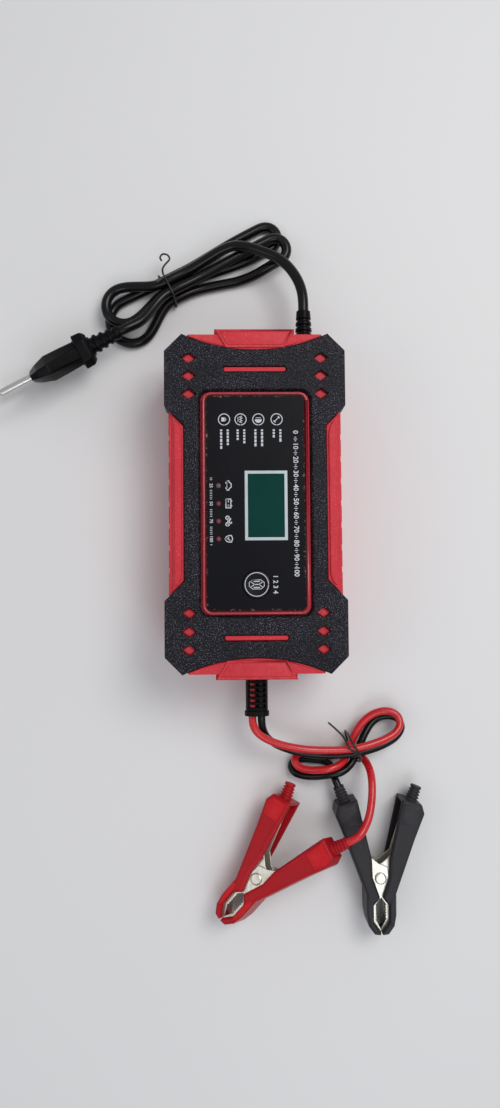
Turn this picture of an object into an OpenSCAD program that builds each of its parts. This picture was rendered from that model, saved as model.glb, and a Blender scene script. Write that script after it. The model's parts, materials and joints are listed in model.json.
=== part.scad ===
// Twelve-volt car battery charger: red housing under a black armoured cover, mains lead
// in a tied hank with a flat two-pin plug, and a pair of output leads with spring clamps.
// +Y is the mains end, -Y the output end, +Z up, origin under the middle of the housing.

/* [Housing] */
// Length over the ends of the black cover
body_l = 165; // [155:0.5:180]
// Width over the black cover
body_w = 88; // [84:0.5:96]
// Height from the table to the top of the cover
body_h = 50; // [49:0.5:56]
// Wall of the two red shells
wall = 2.2; // [1.8:0.1:2.6]
// Height of the parting line above the table
split_z = 24; // [22:0.5:26]
// How far the rubber feet stand proud
foot_h = 1.5; // [1:0.1:2.5]
// Diameter of a rubber foot
foot_d = 10; // [8:0.5:12]
// Size of the corner chamfers, seen from above
corner = 8.4; // [6:0.2:10]

/* [Cover] */
// Thickness of the black cover's plate
cover_t = 2.6; // [2:0.1:3]
// Thickness of the skirts that wrap the corners
skirt_t = 2.2; // [1.6:0.1:2.6]
// Height of the lowest edge of the skirts
skirt_z = 20; // [12:0.5:30]
// Width of the cover at its narrow middle
neck_w = 68.8; // [64:0.2:72]
// Half length of the straight part of the neck
neck_half_l = 37.6; // [32:0.2:42]
// Depth of the curved notch in each end
end_sag = 8; // [6:0.2:10]
// Width of the curved notch in each end
end_chord = 71; // [66:0.5:72]
// Width of the window for the display panel
window_w = 55; // [50:0.5:58]
// Length of the window for the display panel
window_l = 110.6; // [100:0.2:114]
// Width of one diamond hole
diamond_w = 7.4; // [5:0.1:9]
// Length of one diamond hole
diamond_l = 5.4; // [4:0.1:7]

/* [Display panel] */
// Width of the printed panel
panel_w = 47.8; // [44:0.2:50]
// Length of the printed panel
panel_l = 104.2; // [96:0.2:108]
// Width of the raised red rim
rim_w = 1.7; // [1.2:0.1:2.2]
// Width of the display's pale frame
lcd_w = 20.7; // [18:0.1:24]
// Length of the display's pale frame
lcd_l = 33.8; // [30:0.1:38]
// Visible border of the pale frame
lcd_border = 1.5; // [1:0.1:2.5]
// Diameter of the mode key
key_d = 13.4; // [11:0.1:15]
// Travel of the mode key
key_travel = 0.5; // [0.3:0.05:0.8]
// Diameter of a status light
led_d = 2.9; // [2.6:0.1:3.4]

/* [Cooling] */
// Room above the fan
fan_room = 1.3; // [0.8:0.1:2.5]
// Thickness of the fan
fan_t = 10; // [8:0.5:12]
// Number of fan blades
fan_blades = 7; // [5:1:9]
// Number of vents in each side
side_vents = 7; // [5:1:8]
// Spacing of the side vents
vent_pitch = 10.8; // [9:0.1:12]

/* [Cords] */
// Diameter of the mains cord
mains_d = 5.4; // [5:0.1:6]
// Diameter of one output lead
lead_d = 4; // [3.6:0.1:4.4]
// Diameter of the wire ties
tie_d = 1; // [0.8:0.1:1.2]
// Length of the mains strain relief outside the wall
mains_gland_l = 20; // [16:1:30]
// Length of the output strain relief outside the wall
dc_gland_l = 23; // [18:1:30]

/* [Plug] */
// Diameter of a plug pin
pin_d = 4; // [3.9:0.05:4.1]
// Length of a plug pin
pin_l = 19; // [18:0.5:20]
// Spacing of the plug pins
pin_gap = 18.6; // [17:0.1:19]
// Long side of the plug's face
plug_w = 35.3; // [34:0.1:36]
// Short side of the plug's face
plug_t = 13.7; // [12:0.1:14]
// Length of the plug's body
plug_l = 34; // [30:1:40]
// Length of the plug's strain relief
plug_relief_l = 17; // [12:1:24]
// How far the plug leans over, in degrees
plug_lean = 20; // [0:1:25]

/* [Clamps] */
// Height of the clamp covers
clamp_h = 17; // [15:0.5:20]
// Wall of the clamp covers
clamp_wall = 1.5; // [1.2:0.1:1.8]
// Thickness of the clamp's pressed metal
clamp_plate = 0.8; // [0.6:0.1:1]
// Diameter of the clamp's rivet
rivet_d = 4; // [3:0.1:4.4]
// Wire diameter of the clamp spring
spring_wire = 1.1; // [0.9:0.1:1.2]
// Number of coils of the clamp spring
spring_turns = 3; // [2:1:3]

/* [Hidden] */
$fn = 48;

// Clearances
fit = 0.15;          // between parts that seat in each other
face = 0.05;         // between faces that lie on each other
run = 0.05;          // radial clearance of a turning shaft
over = 1;            // how far a cutter reaches past what it cuts

// Levels of the housing
base_z = foot_h;
cover_z = body_h - cover_t;
deck_z = cover_z - face;
deck_t = wall;
inner_z0 = base_z + wall;
inner_z1 = deck_z - deck_t;
panel_t = 0.5;
rim_z = body_h - 0.3;
plateau_z = rim_z - 1.1;
ledge_w = rim_w * 0.45;                          // the rim's inner side steps down to a ledge
ledge_drop = 0.35;

// Plan of the housing
half_l = body_l / 2;
half_w = body_w / 2;
end_gap = 0.2;                                   // shell ends stand back from the cover's ends
shell_hx = half_w - skirt_t - fit;
shell_hy = half_l - end_gap;
shell_corner = corner + (skirt_t + fit) * (sqrt(2) - 1) - end_gap;
arc_r = (pow(end_chord / 2, 2) + pow(end_sag, 2)) / (2 * end_sag);
arc_y = half_l - end_sag + arc_r;
neck_slope = half_w - neck_w / 2;                // diagonals of the neck run at 45 degrees

red = "#d23246";
black = "#26272b";
dark = "#17181b";
steel = "#c9c9c4";
board_green = "#1d6b3c";

// ---------- outlines and lofts ----------

// Rectangle with cut corners
function cut_rect(hx, hy, c) = [
    [hx, hy - c], [hx - c, hy], [c - hx, hy], [-hx, hy - c],
    [-hx, c - hy], [c - hx, -hy], [hx - c, -hy], [hx, c - hy]
];

// Rectangle with round corners, n steps in each
function round_rect(hx, hy, r, n = 6) = [
    for (q = [0:3], i = [0:n])
        let (a = 90 * (q + i / n), sx = (q == 0 || q == 3) ? 1 : -1, sy = q < 2 ? 1 : -1)
        [sx * (hx - r) + r * cos(a), sy * (hy - r) + r * sin(a)]
];

// Left normal of the way from a to b
function left_normal(a, b) = let (d = (b - a) / norm(b - a)) [-d[1], d[0]];

// Closed outline, drawn anticlockwise, moved inwards by d
function inset(pts, d) = let (n = len(pts)) [
    for (i = [0:n - 1])
        let (p = left_normal(pts[(i + n - 1) % n], pts[i]),
             q = left_normal(pts[i], pts[(i + 1) % n]),
             m = p + q)
        pts[i] + m * (2 * d / (m * m))
];

// Open line moved to its left by d
function beside(pts, d) = let (n = len(pts)) [
    for (i = [0:n - 1])
        let (p = left_normal(pts[max(i - 1, 0)], pts[max(i, 1)]),
             q = left_normal(pts[min(i, n - 2)], pts[min(i + 1, n - 1)]),
             m = p + q)
        pts[i] + m * (2 * d / (m * m))
];

function mirrored(pts) = [for (i = [len(pts) - 1:-1:0]) [-pts[i][0], pts[i][1]]];

// Solid through outlines of equal length, each at its own height
module loft(outlines, heights) {
    n = len(outlines[0]);
    last = len(outlines) - 1;
    points = [for (k = [0:last], p = outlines[k]) [p[0], p[1], heights[k]]];
    sides = [
        for (k = [0:last - 1], i = [0:n - 1])
            let (a = k * n + i, b = k * n + (i + 1) % n)
            each [[a, b + n, b], [a, a + n, b + n]]
    ];
    bottom = [for (i = [0:n - 1]) i];
    top = [for (i = [n - 1:-1:0]) last * n + i];
    polyhedron(points, concat(sides, [bottom, top]));
}

// Extrusion of the children between two heights
module slab(z0, z1) translate([0, 0, z0]) linear_extrude(z1 - z0) children();

// Box by its centre in plan and its two heights
module block(centre, size, z0, z1)
    translate([centre[0] - size[0] / 2, centre[1] - size[1] / 2, z0]) cube([size[0], size[1], z1 - z0]);

// Upright post
module post(at, d, z0, z1) translate([at[0], at[1], z0]) cylinder(d = d, h = z1 - z0);

// Flat shape with round ends along X
module stadium(w, h) {
    square([w - h, h], center = true);
    for (s = [-1, 1]) translate([s * (w - h) / 2, 0]) circle(d = h);
}

module both_ends() for (m = [0, 1]) mirror([0, m, 0]) children();
module both_sides() for (m = [0, 1]) mirror([m, 0, 0]) children();
module four_corners() both_ends() both_sides() children();

// ---------- housing ----------

shell = cut_rect(shell_hx, shell_hy, shell_corner);
boss_d = 9;
boss_at = [shell_hx - 8.4, shell_hy - 12.1];
screw_d = 2.9;
screw_head_d = 5.6;
screw_head_h = 2;
screw_seat_z = base_z + 8.5;
screw_l = 26;
foot_at = [shell_hx - 10.6, shell_hy - 25.3];
foot_seat = 0.8;
tongue_h = 1.5;
tongue_t = wall / 2;
edge_chamfer = 2;
floor_slot_l = 26;
floor_slot_w = 2.4;
floor_slot_pitch = 6;
floor_slot_y = [-30, 20];

// Main board
board_t = 1.6;
board_w = 2 * shell_hx - 2 * wall - 5;
board_l = 118;
board_y = -3;
board_z0 = inner_z0 + 4.3;
board_z1 = board_z0 + board_t;
board_screw_d = 2.4;
board_head_d = 4.5;
board_head_h = 1.6;
board_screw_l = 7;
standoff_d = 6;
board_hole = [board_w / 2 - 4, board_l / 2 - 4];

// Fan, as tall as the housing allows, seated against its guard inside the mains end
guard_t = 1.2;
fan_boss_gap = 0.5;
fan_side = inner_z1 - inner_z0 - fit - fan_room;
fan_x = fan_side / 2 + fan_boss_gap - boss_at[0] + boss_d / 2;
fan_z = inner_z0 + fit + fan_side / 2;
guard_y = shell_hy - wall - fit - guard_t;
fan_y = guard_y - fit - fan_t;
fan_hole_d = fan_side - 3;
cradle_t = 1.5;
cradle_h = 9;
cradle_lip = 2;

// Glands on the parting line
gland_in = 6.18;
gland_x = shell_hx - shell_corner - gland_in;
gland_z = split_z;
gland_neck_d = 9.2;
dc_x = 0.5;
dc_neck_w = 9.4;
dc_neck_h = 6.6;

// Grips in the cover's side notches
grip_gap = 0.3;
grip_x0 = neck_w / 2 + grip_gap;
grip_x1 = half_w - 1.8;
grip_y0 = neck_half_l - grip_gap * (sqrt(2) - 1);
grip_z0 = 30;
grip_z1 = body_h - 1.4;
shoulder = 2.4;
pad_h = 0.8;
pad_start = 5;
pad_end_l = 7.6;
vent_w = 2.6;

// Raised blocks in the ends
block_in = 14.2;
block_out = 19.8;
block_y0 = half_l - 7.2;
block_y1 = half_l + 2.5;
block_under = 4.5;

// Places on the panel
lcd_at = [5.1, -1.4];
key_at = [0.2, -39.5];
led_x = -17.9;
led_y = [8.3, -0.4, -8.9, -17.5];
panel_r = 2.7;
panel_z0 = plateau_z + face;
panel_z1 = panel_z0 + panel_t - face;
lcd_gap = 0.25;
key_gap = 0.3;
key_flange = 1.3;
key_flange_t = 1.1;
key_rest_gap = 0.1;

// Display board and what stands on it
display_z1 = inner_z1 - 5.2;
display_z0 = display_z1 - board_t;
display_size = [46, 98];
display_hole = [19.5, 45];
display_post_d = 5;

module shell_plan(d = 0) polygon(inset(shell, d));

module gland_cut() {
    translate([gland_x, shell_hy - wall - over, gland_z])
        rotate([-90, 0, 0]) cylinder(d = gland_neck_d + 2 * face, h = wall + 2 * over);
    translate([dc_x, -shell_hy + wall / 2, gland_z])
        cube([dc_neck_w + 2 * face, wall + 2 * over, dc_neck_h + 2 * face], center = true);
}

module fan_cut()
    translate([fan_x, shell_hy - wall - over, fan_z])
        rotate([-90, 0, 0]) cylinder(d = fan_hole_d, h = wall + 2 * over);

module base_shell() color(red) difference() {
    union() {
        difference() {
            loft([inset(shell, edge_chamfer), shell, shell], [base_z, base_z + edge_chamfer, split_z]);
            slab(inner_z0, split_z + over) shell_plan(wall);
        }
        slab(split_z - over, split_z + tongue_h) difference() {
            shell_plan(wall - tongue_t);
            shell_plan(wall);
        }
        four_corners() post(boss_at, boss_d, base_z, split_z);
        for (sx = [-1, 1], sy = [-1, 1])
            post([sx * board_hole[0], board_y + sy * board_hole[1]], standoff_d,
                base_z + over, board_z0 - face);
        for (s = [-1, 1])
            block([fan_x + s * (fan_side / 2 + fit + cradle_t / 2), fan_y + fan_t / 2],
                [cradle_t, fan_t], inner_z0 - over, inner_z0 + cradle_h);
        block([fan_x, fan_y - fit - cradle_t / 2], [fan_side, cradle_t],
            inner_z0 - over, inner_z0 + cradle_lip);
    }
    four_corners() {
        post(boss_at, screw_head_d + 1, base_z - over, screw_seat_z);
        post(boss_at, screw_d + 0.4, base_z, split_z + over);
        post(foot_at, foot_d + 2 * face, base_z - over, base_z + foot_seat);
    }
    for (sx = [-1, 1], sy = [-1, 1])
        post([sx * board_hole[0], board_y + sy * board_hole[1]], board_screw_d + 0.1,
            board_z0 - board_screw_l, board_z0 + over);
    for (i = [-3:3], y = floor_slot_y)
        translate([i * floor_slot_pitch, y, 0]) slab(base_z - over, inner_z0 + over)
            rotate(90) stadium(floor_slot_l, floor_slot_w);
    gland_cut();
    fan_cut();
}

module grip_side() {
    plan = [[grip_x0, -grip_y0], [grip_x1, -grip_y0 - grip_x1 + grip_x0],
        [grip_x1, grip_y0 + grip_x1 - grip_x0], [grip_x0, grip_y0]];
    profile = [[grip_x0, grip_z0], [grip_x1 - 1, grip_z0], [grip_x1, grip_z0 + 2],
        [grip_x1, grip_z1 - shoulder * 1.5], [grip_x1 - shoulder, grip_z1], [grip_x0, grip_z1]];
    intersection() {
        slab(grip_z0, grip_z1) polygon(plan);
        translate([0, body_l / 2, 0]) rotate([90, 0, 0]) linear_extrude(body_l) polygon(profile);
    }
    pad_x0 = grip_x0 + 1;
    pad_x1 = grip_x1 - shoulder - 0.5;
    curved_end = [for (i = [0:5]) let (a = 90 - 18 * i)
        [pad_x1 - (pad_x1 - pad_x0) * cos(a), grip_y0 - pad_start + pad_end_l * sin(a)]];
    pad = concat([for (i = [5:-1:0]) [curved_end[i][0], -curved_end[i][1]]], curved_end);
    loft([pad, pad, inset(pad, 0.4)], [grip_z1 - over, grip_z1 + pad_h / 2, grip_z1 + pad_h]);
}

module end_block() {
    full = [[block_in, block_y0], [block_out, block_y1], [-block_out, block_y1], [-block_in, block_y0]];
    loft([full, full, inset(full, 1)], [deck_z - deck_t / 2, body_h - 1, body_h]);
    lip = [[block_out - 1, shell_hy - wall / 2], [block_out, block_y1],
        [-block_out, block_y1], [1 - block_out, shell_hy - wall / 2]];
    foot = [for (p = lip) [p[0], min(p[1], shell_hy + 0.3)]];
    z = deck_z - deck_t / 2;
    loft([foot, lip, lip], [z - block_under, z - 1, z]);
}

module end_crescent() intersection() {
    slab(deck_z - over, body_h - 0.7) shell_plan();
    translate([0, arc_y, 0]) cylinder(r = arc_r - grip_gap, h = body_h, $fn = 160);
}

module top_shell() color(red) {
    rim_out = round_rect(panel_w / 2 + fit + rim_w, panel_l / 2 + fit + rim_w, panel_r + fit + rim_w);
    rim_in = round_rect(panel_w / 2 + fit, panel_l / 2 + fit, panel_r + fit);
    rim_step = round_rect(panel_w / 2 + fit + ledge_w, panel_l / 2 + fit + ledge_w, panel_r + fit + ledge_w);
    difference() {
        union() {
            difference() {
                union() {
                    slab(split_z + face, deck_z) shell_plan();
                    both_sides() grip_side();
                }
                slab(split_z, inner_z1) shell_plan(wall);
                slab(split_z, split_z + tongue_h + 0.3) shell_plan(wall - tongue_t - fit);
                both_sides() for (i = [0:side_vents - 1])
                    translate([0, (i - (side_vents - 1) / 2) * vent_pitch, 0])
                        block([grip_x1, 0], [10, vent_w], grip_z0 + 2, grip_z1 - shoulder);
            }
            both_ends() {
                end_block();
                end_crescent();
            }
            loft([rim_out, rim_out, inset(rim_out, 0.5)], [deck_z - over, rim_z - 0.5, rim_z]);
            both_ends() translate([0, slot_y, 0])
                slab(deck_z - over, body_h - 0.6) stadium(slot_l - 0.8, slot_t - 0.8);
            four_corners() for (y = diamond_y) translate([diamond_x, y, 0])
                slab(deck_z - over, deck_z + 0.6) polygon(diamond(0.6));
            four_corners() post(boss_at, boss_d - 1, split_z + face, inner_z1 + over);
            four_corners() post(display_hole, display_post_d, display_z1 + face, inner_z1 + over);
        }
        slab(plateau_z, body_h + over) polygon(rim_in);
        slab(rim_z - ledge_drop, body_h + over) polygon(rim_step);
        slab(inner_z1 - over, body_h) translate(lcd_at)
            square([lcd_w + 2 * lcd_gap, lcd_l + 2 * lcd_gap], center = true);
        for (y = led_y) post([led_x, y], led_d + 0.2, inner_z1 - over, body_h);
        post(key_at, key_d + 2 * key_gap, inner_z1 - over, body_h);
        four_corners() post(boss_at, screw_d + 0.1, split_z - over, split_z + 16);
        four_corners() post(display_hole, 2.1, display_z1 - over, inner_z1 - 0.6);
        gland_cut();
        fan_cut();
    }
}

slot_l = 31.2;
slot_t = 3;
slot_y = 65.1;
diamond_x = 32.2;
diamond_y = [53.1, 62, 70.7];
function diamond(d) = let (hx = diamond_w / 2 - d, hy = diamond_l / 2 - d * diamond_l / diamond_w)
    [[hx, 0], [0, hy], [-hx, 0], [0, -hy]];

module top_cover() color(black) {
    neck_end = neck_half_l + neck_slope;
    side = [
        [neck_w / 2, neck_half_l], [half_w, neck_end], [half_w, half_l - corner], [half_w - corner, half_l],
        [corner - half_w, half_l], [-half_w, half_l - corner], [-half_w, neck_end], [-neck_w / 2, neck_half_l]
    ];
    plan = concat(side, [for (p = side) -p]);
    cavity_hy = half_l + 8;
    inner_sum = half_w + half_l - corner - skirt_t * sqrt(2);
    cavity = cut_rect(half_w - skirt_t, cavity_hy, half_w - skirt_t + cavity_hy - inner_sum);
    difference() {
        slab(skirt_z, body_h) polygon(plan);
        slab(skirt_z - over, cover_z) polygon(cavity);
        both_ends() translate([0, arc_y, 0]) cylinder(r = arc_r, h = body_h + over, $fn = 160);
        both_ends() translate([-body_w, 0, 0]) rotate([90, 0, 90]) linear_extrude(2 * body_w)
            polygon([[-over, skirt_z - over], [-over, grip_z0 + 6], [neck_end, grip_z0 + 6],
                [neck_end + 16, skirt_z], [neck_end + 16, skirt_z - over]]);
        window_bottom = round_rect(window_w / 2 - 1, window_l / 2 - 1, 4.6);
        window_top = round_rect(window_w / 2 + 0.2, window_l / 2 + 0.2, 5.6);
        loft([window_bottom, window_bottom, window_top, window_top],
            [cover_z - over, cover_z + 0.4, body_h, body_h + over]);
        both_ends() translate([0, slot_y, 0]) slab(cover_z - over, body_h + over) stadium(slot_l, slot_t);
        four_corners() for (y = diamond_y) translate([diamond_x, y, 0])
            slab(cover_z - over, body_h + over) polygon(diamond(0));
    }
}

// ---------- display panel and its board ----------

module label_panel() color(dark) difference() {
    slab(panel_z0, panel_z1) polygon(round_rect(panel_w / 2, panel_l / 2, panel_r));
    slab(panel_z0 - over, panel_z1 + over) translate(lcd_at)
        square([lcd_w + lcd_gap, lcd_l + lcd_gap], center = true);
    for (y = led_y) post([led_x, y], led_d + 0.2, panel_z0 - over, panel_z1 + over);
    post(key_at, key_d + 2 * key_gap, panel_z0 - over, panel_z1 + over);
}

lcd_wall = 0.8;
lcd_glass_t = 1.1;
backlight_t = 2.6;
lcd_size = [lcd_w, lcd_l];
lcd_core = [lcd_w - 2 * lcd_wall - 2 * fit, lcd_l - 2 * lcd_wall - 2 * fit];
lcd_glass_z1 = panel_z1 - 0.8;
lcd_glass_z0 = lcd_glass_z1 - lcd_glass_t;
backlight_z1 = lcd_glass_z0 - face;
backlight_z0 = backlight_z1 - backlight_t;

module lcd_bezel() color("#b9c6cf") {
    difference() {
        block(lcd_at, lcd_size, backlight_z0, panel_z1);
        block(lcd_at, lcd_size - 2 * [lcd_border, lcd_border], backlight_z0, panel_z1 + over);
        block(lcd_at, lcd_size - 2 * [lcd_wall, lcd_wall], backlight_z0 - over, lcd_glass_z1 + face);
    }
    for (sx = [-1, 1], sy = [-1, 1])
        block(lcd_at + [sx * (lcd_w - lcd_wall) / 2, sy * (lcd_l / 2 - 4)],
            [lcd_wall, 3], display_z1 + face, backlight_z0 + over);
}

module lcd_glass() color("#1d5c4c") block(lcd_at, lcd_core, lcd_glass_z0, lcd_glass_z1);

module lcd_backlight() color("ivory") {
    block(lcd_at, lcd_core, backlight_z0, backlight_z1);
    for (i = [0:7])
        block(lcd_at + [lcd_core[0] / 2 - 0.6, (i - 3.5) * 3], [0.6, 0.6],
            display_z1 + face, backlight_z0 + 0.2);
}

module status_leds() color("#8d5a5c") for (y = led_y) {
    z0 = inner_z1 - 0.9;
    z1 = panel_z1 + 0.2 - led_d / 2;
    post([led_x, y], led_d + 0.8, z0, inner_z1 - face);
    post([led_x, y], led_d, z0, z1);
    translate([led_x, y, z1]) intersection() {
        sphere(d = led_d);
        cylinder(d = led_d, h = led_d);
    }
    for (s = [-1, 1]) block([led_x + s * 0.9, y], [0.5, 0.5], display_z1 + face, z0 + 0.2);
}

switch_side = 6;
switch_t = 2.4;
plunger_d = 3.5;
plunger_l = 1.8;
key_stem_z = display_z1 + switch_t + 1;

module mode_key() color(dark) {
    post(key_at, key_d, inner_z1 - key_rest_gap - face, panel_z1 + 0.1);
    post(key_at, key_d + 2 * key_flange, inner_z1 - key_rest_gap - key_flange_t, inner_z1 - key_rest_gap);
    post(key_at, plunger_d + 0.5, key_stem_z, inner_z1 - key_rest_gap - key_flange_t + face);
}

module switch_plunger() color("ivory")
    post(key_at, plunger_d, key_stem_z - plunger_l, key_stem_z - face / 2);

module switch_body() color("#3a3a3c") difference() {
    block(key_at, [switch_side, switch_side], display_z1 + face, display_z1 + switch_t);
    post(key_at, plunger_d + 2 * run, key_stem_z - plunger_l - key_travel - 0.3, display_z1 + switch_t + over);
}

module display_board() color(board_green) difference() {
    slab(display_z0, display_z1) square(display_size, center = true);
    four_corners() post(display_hole, 2.4, display_z0 - over, display_z1 + over);
}

module display_screws() color(steel) four_corners() {
    post(display_hole, 4, display_z0 - 1.5, display_z0 - face);
    post(display_hole, 2, display_z0 - 1, display_z1 + 4);
}

// ---------- main board ----------

module main_board() color(board_green) difference() {
    translate([0, board_y, 0]) slab(board_z0, board_z1) square([board_w, board_l], center = true);
    for (sx = [-1, 1], sy = [-1, 1])
        post([sx * board_hole[0], board_y + sy * board_hole[1]], board_screw_d + 0.4,
            board_z0 - over, board_z1 + over);
}

module board_screws() color(steel) for (sx = [-1, 1], sy = [-1, 1]) {
    at = [sx * board_hole[0], board_y + sy * board_hole[1]];
    post(at, board_head_d, board_z1 + face, board_z1 + board_head_h);
    post(at, board_screw_d, board_z1 + board_head_h / 2 - board_screw_l, board_z1 + board_head_h / 2);
}

seat_z = board_z1 + face;

// Ferrite transformer: two E halves round a taped bobbin
transformer_at = [-2, -6];
transformer_room = 3.2;
core_l = 28;
core_t = 9;
core_foot = 1.5;
core_h = display_z0 - transformer_room - seat_z - core_foot;
core_leg = 4;
core_side_leg = 3;
core_window_w = 6;
window_h = core_h - 2 * core_leg;
window_z = core_foot + core_leg;
bobbin_d = 21.6;
bobbin_gap = 0.1;
rail_l = 24;
rail_t = 4;
rail_h = 5.4;
rail_y = 9;
tape_t = 2.4;
module transformer() color("#3b3d40") translate([transformer_at[0], transformer_at[1], seat_z]) {
    middle_w = core_l - 2 * core_side_leg - 2 * core_window_w;
    difference() {
        block([0, 0], [core_l, core_t], core_foot, core_foot + core_h);
        for (s = [-1, 1]) block([s * (middle_w + core_window_w) / 2, 0], [core_window_w, core_t + over],
            window_z, window_z + window_h);
    }
    difference() {
        post([0, 0], bobbin_d, window_z + bobbin_gap, window_z + window_h - bobbin_gap);
        block([0, 0], [middle_w, core_t - face], 0, core_h);
        for (s = [-1, 1]) block([s * (core_l / 2 + core_side_leg - bobbin_gap), 0],
            [4 * core_side_leg, core_t + 2 * bobbin_gap], 0, core_h);
    }
    for (s = [-1, 1]) {
        block([0, s * rail_y], [rail_l, rail_t], 0, rail_h);
        block([0, s * rail_y], [rail_l, rail_t], core_h - core_leg / 2, core_h + tape_t - core_leg / 2);
        block([0, s * rail_y], [rail_l - core_side_leg, tape_t], rail_h - fit, core_h - core_leg / 2 + fit);
    }
}

// Electrolytic capacitor with a crimped foot and a scored top
crimp_z = 2.2;
crimp_r = 0.75;
score_w = 0.3;
module capacitor(at, d, h) translate([at[0], at[1], seat_z]) difference() {
    union() {
        cylinder(d = d, h = h - 1);
        cylinder(d = d - 1.2, h = h);
    }
    translate([0, 0, crimp_z]) rotate_extrude() translate([d / 2 + crimp_r / 3, 0]) circle(r = crimp_r);
    for (a = [0, 60, 120]) rotate(a) block([0, 0], [d - 3, score_w], h - score_w, h + over);
}

// Parts of full height stand this far under the display board
tall_room = 2.7;
mains_cap_d = 18;
mains_cap_h = display_z0 - tall_room - seat_z;
mains_cap_in = 16.95;
mains_cap_at = [board_w / 2 - mains_cap_in, 30];
output_cap_d = 10;
output_cap_h = mains_cap_h - 6;
small_cap_d = 8;
small_cap_h = output_cap_h - 4;
output_cap_x = [-1, 12];
output_cap_y = -48;
cap_row = 14;
small_cap_y = output_cap_y + cap_row;

module mains_capacitor() color("#2b2b30") capacitor(mains_cap_at, mains_cap_d, mains_cap_h);

module output_capacitors() color("#20304a") {
    for (x = output_cap_x) capacitor([x, output_cap_y], output_cap_d, output_cap_h);
    capacitor([output_cap_x[1], small_cap_y], small_cap_d, small_cap_h);
}

// Finned heat sinks, each with a power transistor against it
sink_t = 3;
sink_l = 28;
sink_h = mains_cap_h;
fin_l = 8;
fin_t = 1.6;
fin_z = 3;
fins = 5;
sink_in = [12.95, 10.95];
sink_y = [22, -40];
module at_sinks() for (i = [0, 1]) translate([sink_in[i] - board_w / 2, sink_y[i], seat_z]) children();

module heatsinks() color("#9a9da0") at_sinks() {
    block([0, 0], [sink_t, sink_l], 0, sink_h);
    for (i = [0:fins - 1])
        block([-fin_l / 2, (i / (fins - 1) - 0.5) * (sink_l - fin_t)], [fin_l, fin_t], fin_z, sink_h);
}

chip_w = 10;
chip_t = 4.5;
chip_h = 9;
chip_z = 6;
chip_lead_t = 0.6;
chip_lead_pitch = 2.54;
tab_t = 1.3;
tab_h = 7;
tab_hole_d = 3.6;
module transistors() color("#232326") at_sinks() translate([sink_t / 2 + face, 0, 0]) {
    block([chip_t / 2, 0], [chip_t, chip_w], chip_z, chip_z + chip_h);
    difference() {
        block([tab_t / 2, 0], [tab_t, chip_w], chip_z + chip_h - over, chip_z + chip_h + tab_h - over);
        translate([-over, 0, chip_z + chip_h + tab_h / 2 - fit])
            rotate([0, 90, 0]) cylinder(d = tab_hole_d, h = 2 * chip_t);
    }
    for (i = [-1:1]) block([chip_t / 2, i * chip_lead_pitch], [chip_lead_t, chip_lead_t], 0, chip_z + over);
}

// Wound ring choke standing on two feet
choke_at = [-2, 34];
choke_r = 6;
choke_ring = [5, 7];
choke_foot = 3;
module choke() color("#a4572a") translate([choke_at[0], choke_at[1], seat_z]) {
    translate([0, 0, choke_r + choke_foot]) rotate([90, 0, 0]) rotate_extrude()
        translate([choke_r, 0]) square(choke_ring, center = true);
    for (s = [-1, 1]) block([s * (choke_r - 1), 0], [choke_foot, choke_foot], 0, choke_foot + 0.4);
}

// Round fuse with its two clips on one strip
fuse_in = 6.95;
fuse_y = 6;
fuse_d = 8.4;
fuse_h = 8;
clip_d = 4;
clip_h = 3;
clip_gap = 6.6;
module fuse() color("#6d5a35") translate([board_w / 2 - fuse_in, fuse_y, seat_z]) {
    cylinder(d = fuse_d, h = fuse_h);
    for (s = [-1, 1]) post([0, s * clip_gap], clip_d, 0, clip_h);
    block([0, 0], [clip_d / 2.5, 2 * (clip_gap + clip_d / 3)], 0, clip_h / 3);
}

// ---------- fan ----------

module at_fan() translate([fan_x, fan_y, fan_z]) rotate([-90, 0, 0]) children();

fan_bore = fan_side - 2;
hub_d = 17;
hub_gap = 0.6;
shaft_d = 2;
motor_t = 3;
motor_arm_t = 1.6;
fan_screw_d = 3.4;
fan_screw_in = 5.66;
blade_t = 0.9;
blade_pitch = 38;

module fan_frame() color("#1b1b1d") at_fan() {
    difference() {
        translate([0, 0, fan_t / 2]) cube([fan_side, fan_side, fan_t], center = true);
        translate([0, 0, -over]) cylinder(d = fan_bore, h = fan_t + 2 * over, $fn = 96);
        for (a = [45:90:315]) rotate(a) translate([fan_side / sqrt(2) - fan_screw_in, 0, -over])
            cylinder(d = fan_screw_d, h = fan_t + 2 * over);
    }
    difference() {
        union() {
            cylinder(d = hub_d, h = motor_t);
            for (a = [30:120:270]) rotate(a) translate([0, -1, 0]) cube([fan_bore / 2 + 0.3, 2, motor_arm_t]);
        }
        translate([0, 0, 0.8]) cylinder(d = shaft_d + 2 * run, h = motor_t);
    }
}

module fan_rotor() color("#26262a") at_fan() {
    z0 = motor_t + hub_gap;
    h = fan_t - z0 - hub_gap;
    difference() {
        translate([0, 0, z0]) cylinder(d = hub_d, h = h);
        translate([0, 0, z0 - over]) cylinder(d = hub_d - 3, h = h - 1 + over);
    }
    translate([0, 0, 1]) cylinder(d = shaft_d, h = z0 + h - 1.2);
    intersection() {
        for (i = [0:fan_blades - 1]) rotate(i * 360 / fan_blades)
            translate([(fan_bore + hub_d) / 4, 0, z0 + h / 2]) rotate([blade_pitch, 0, 0])
                cube([(fan_bore - hub_d) / 2 + 2, blade_t, 2 * h], center = true);
        difference() {
            translate([0, 0, z0]) cylinder(d = fan_bore - 2, h = h, $fn = 96);
            translate([0, 0, z0 - over]) cylinder(d = hub_d - 1, h = h + 2 * over);
        }
    }
}

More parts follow.
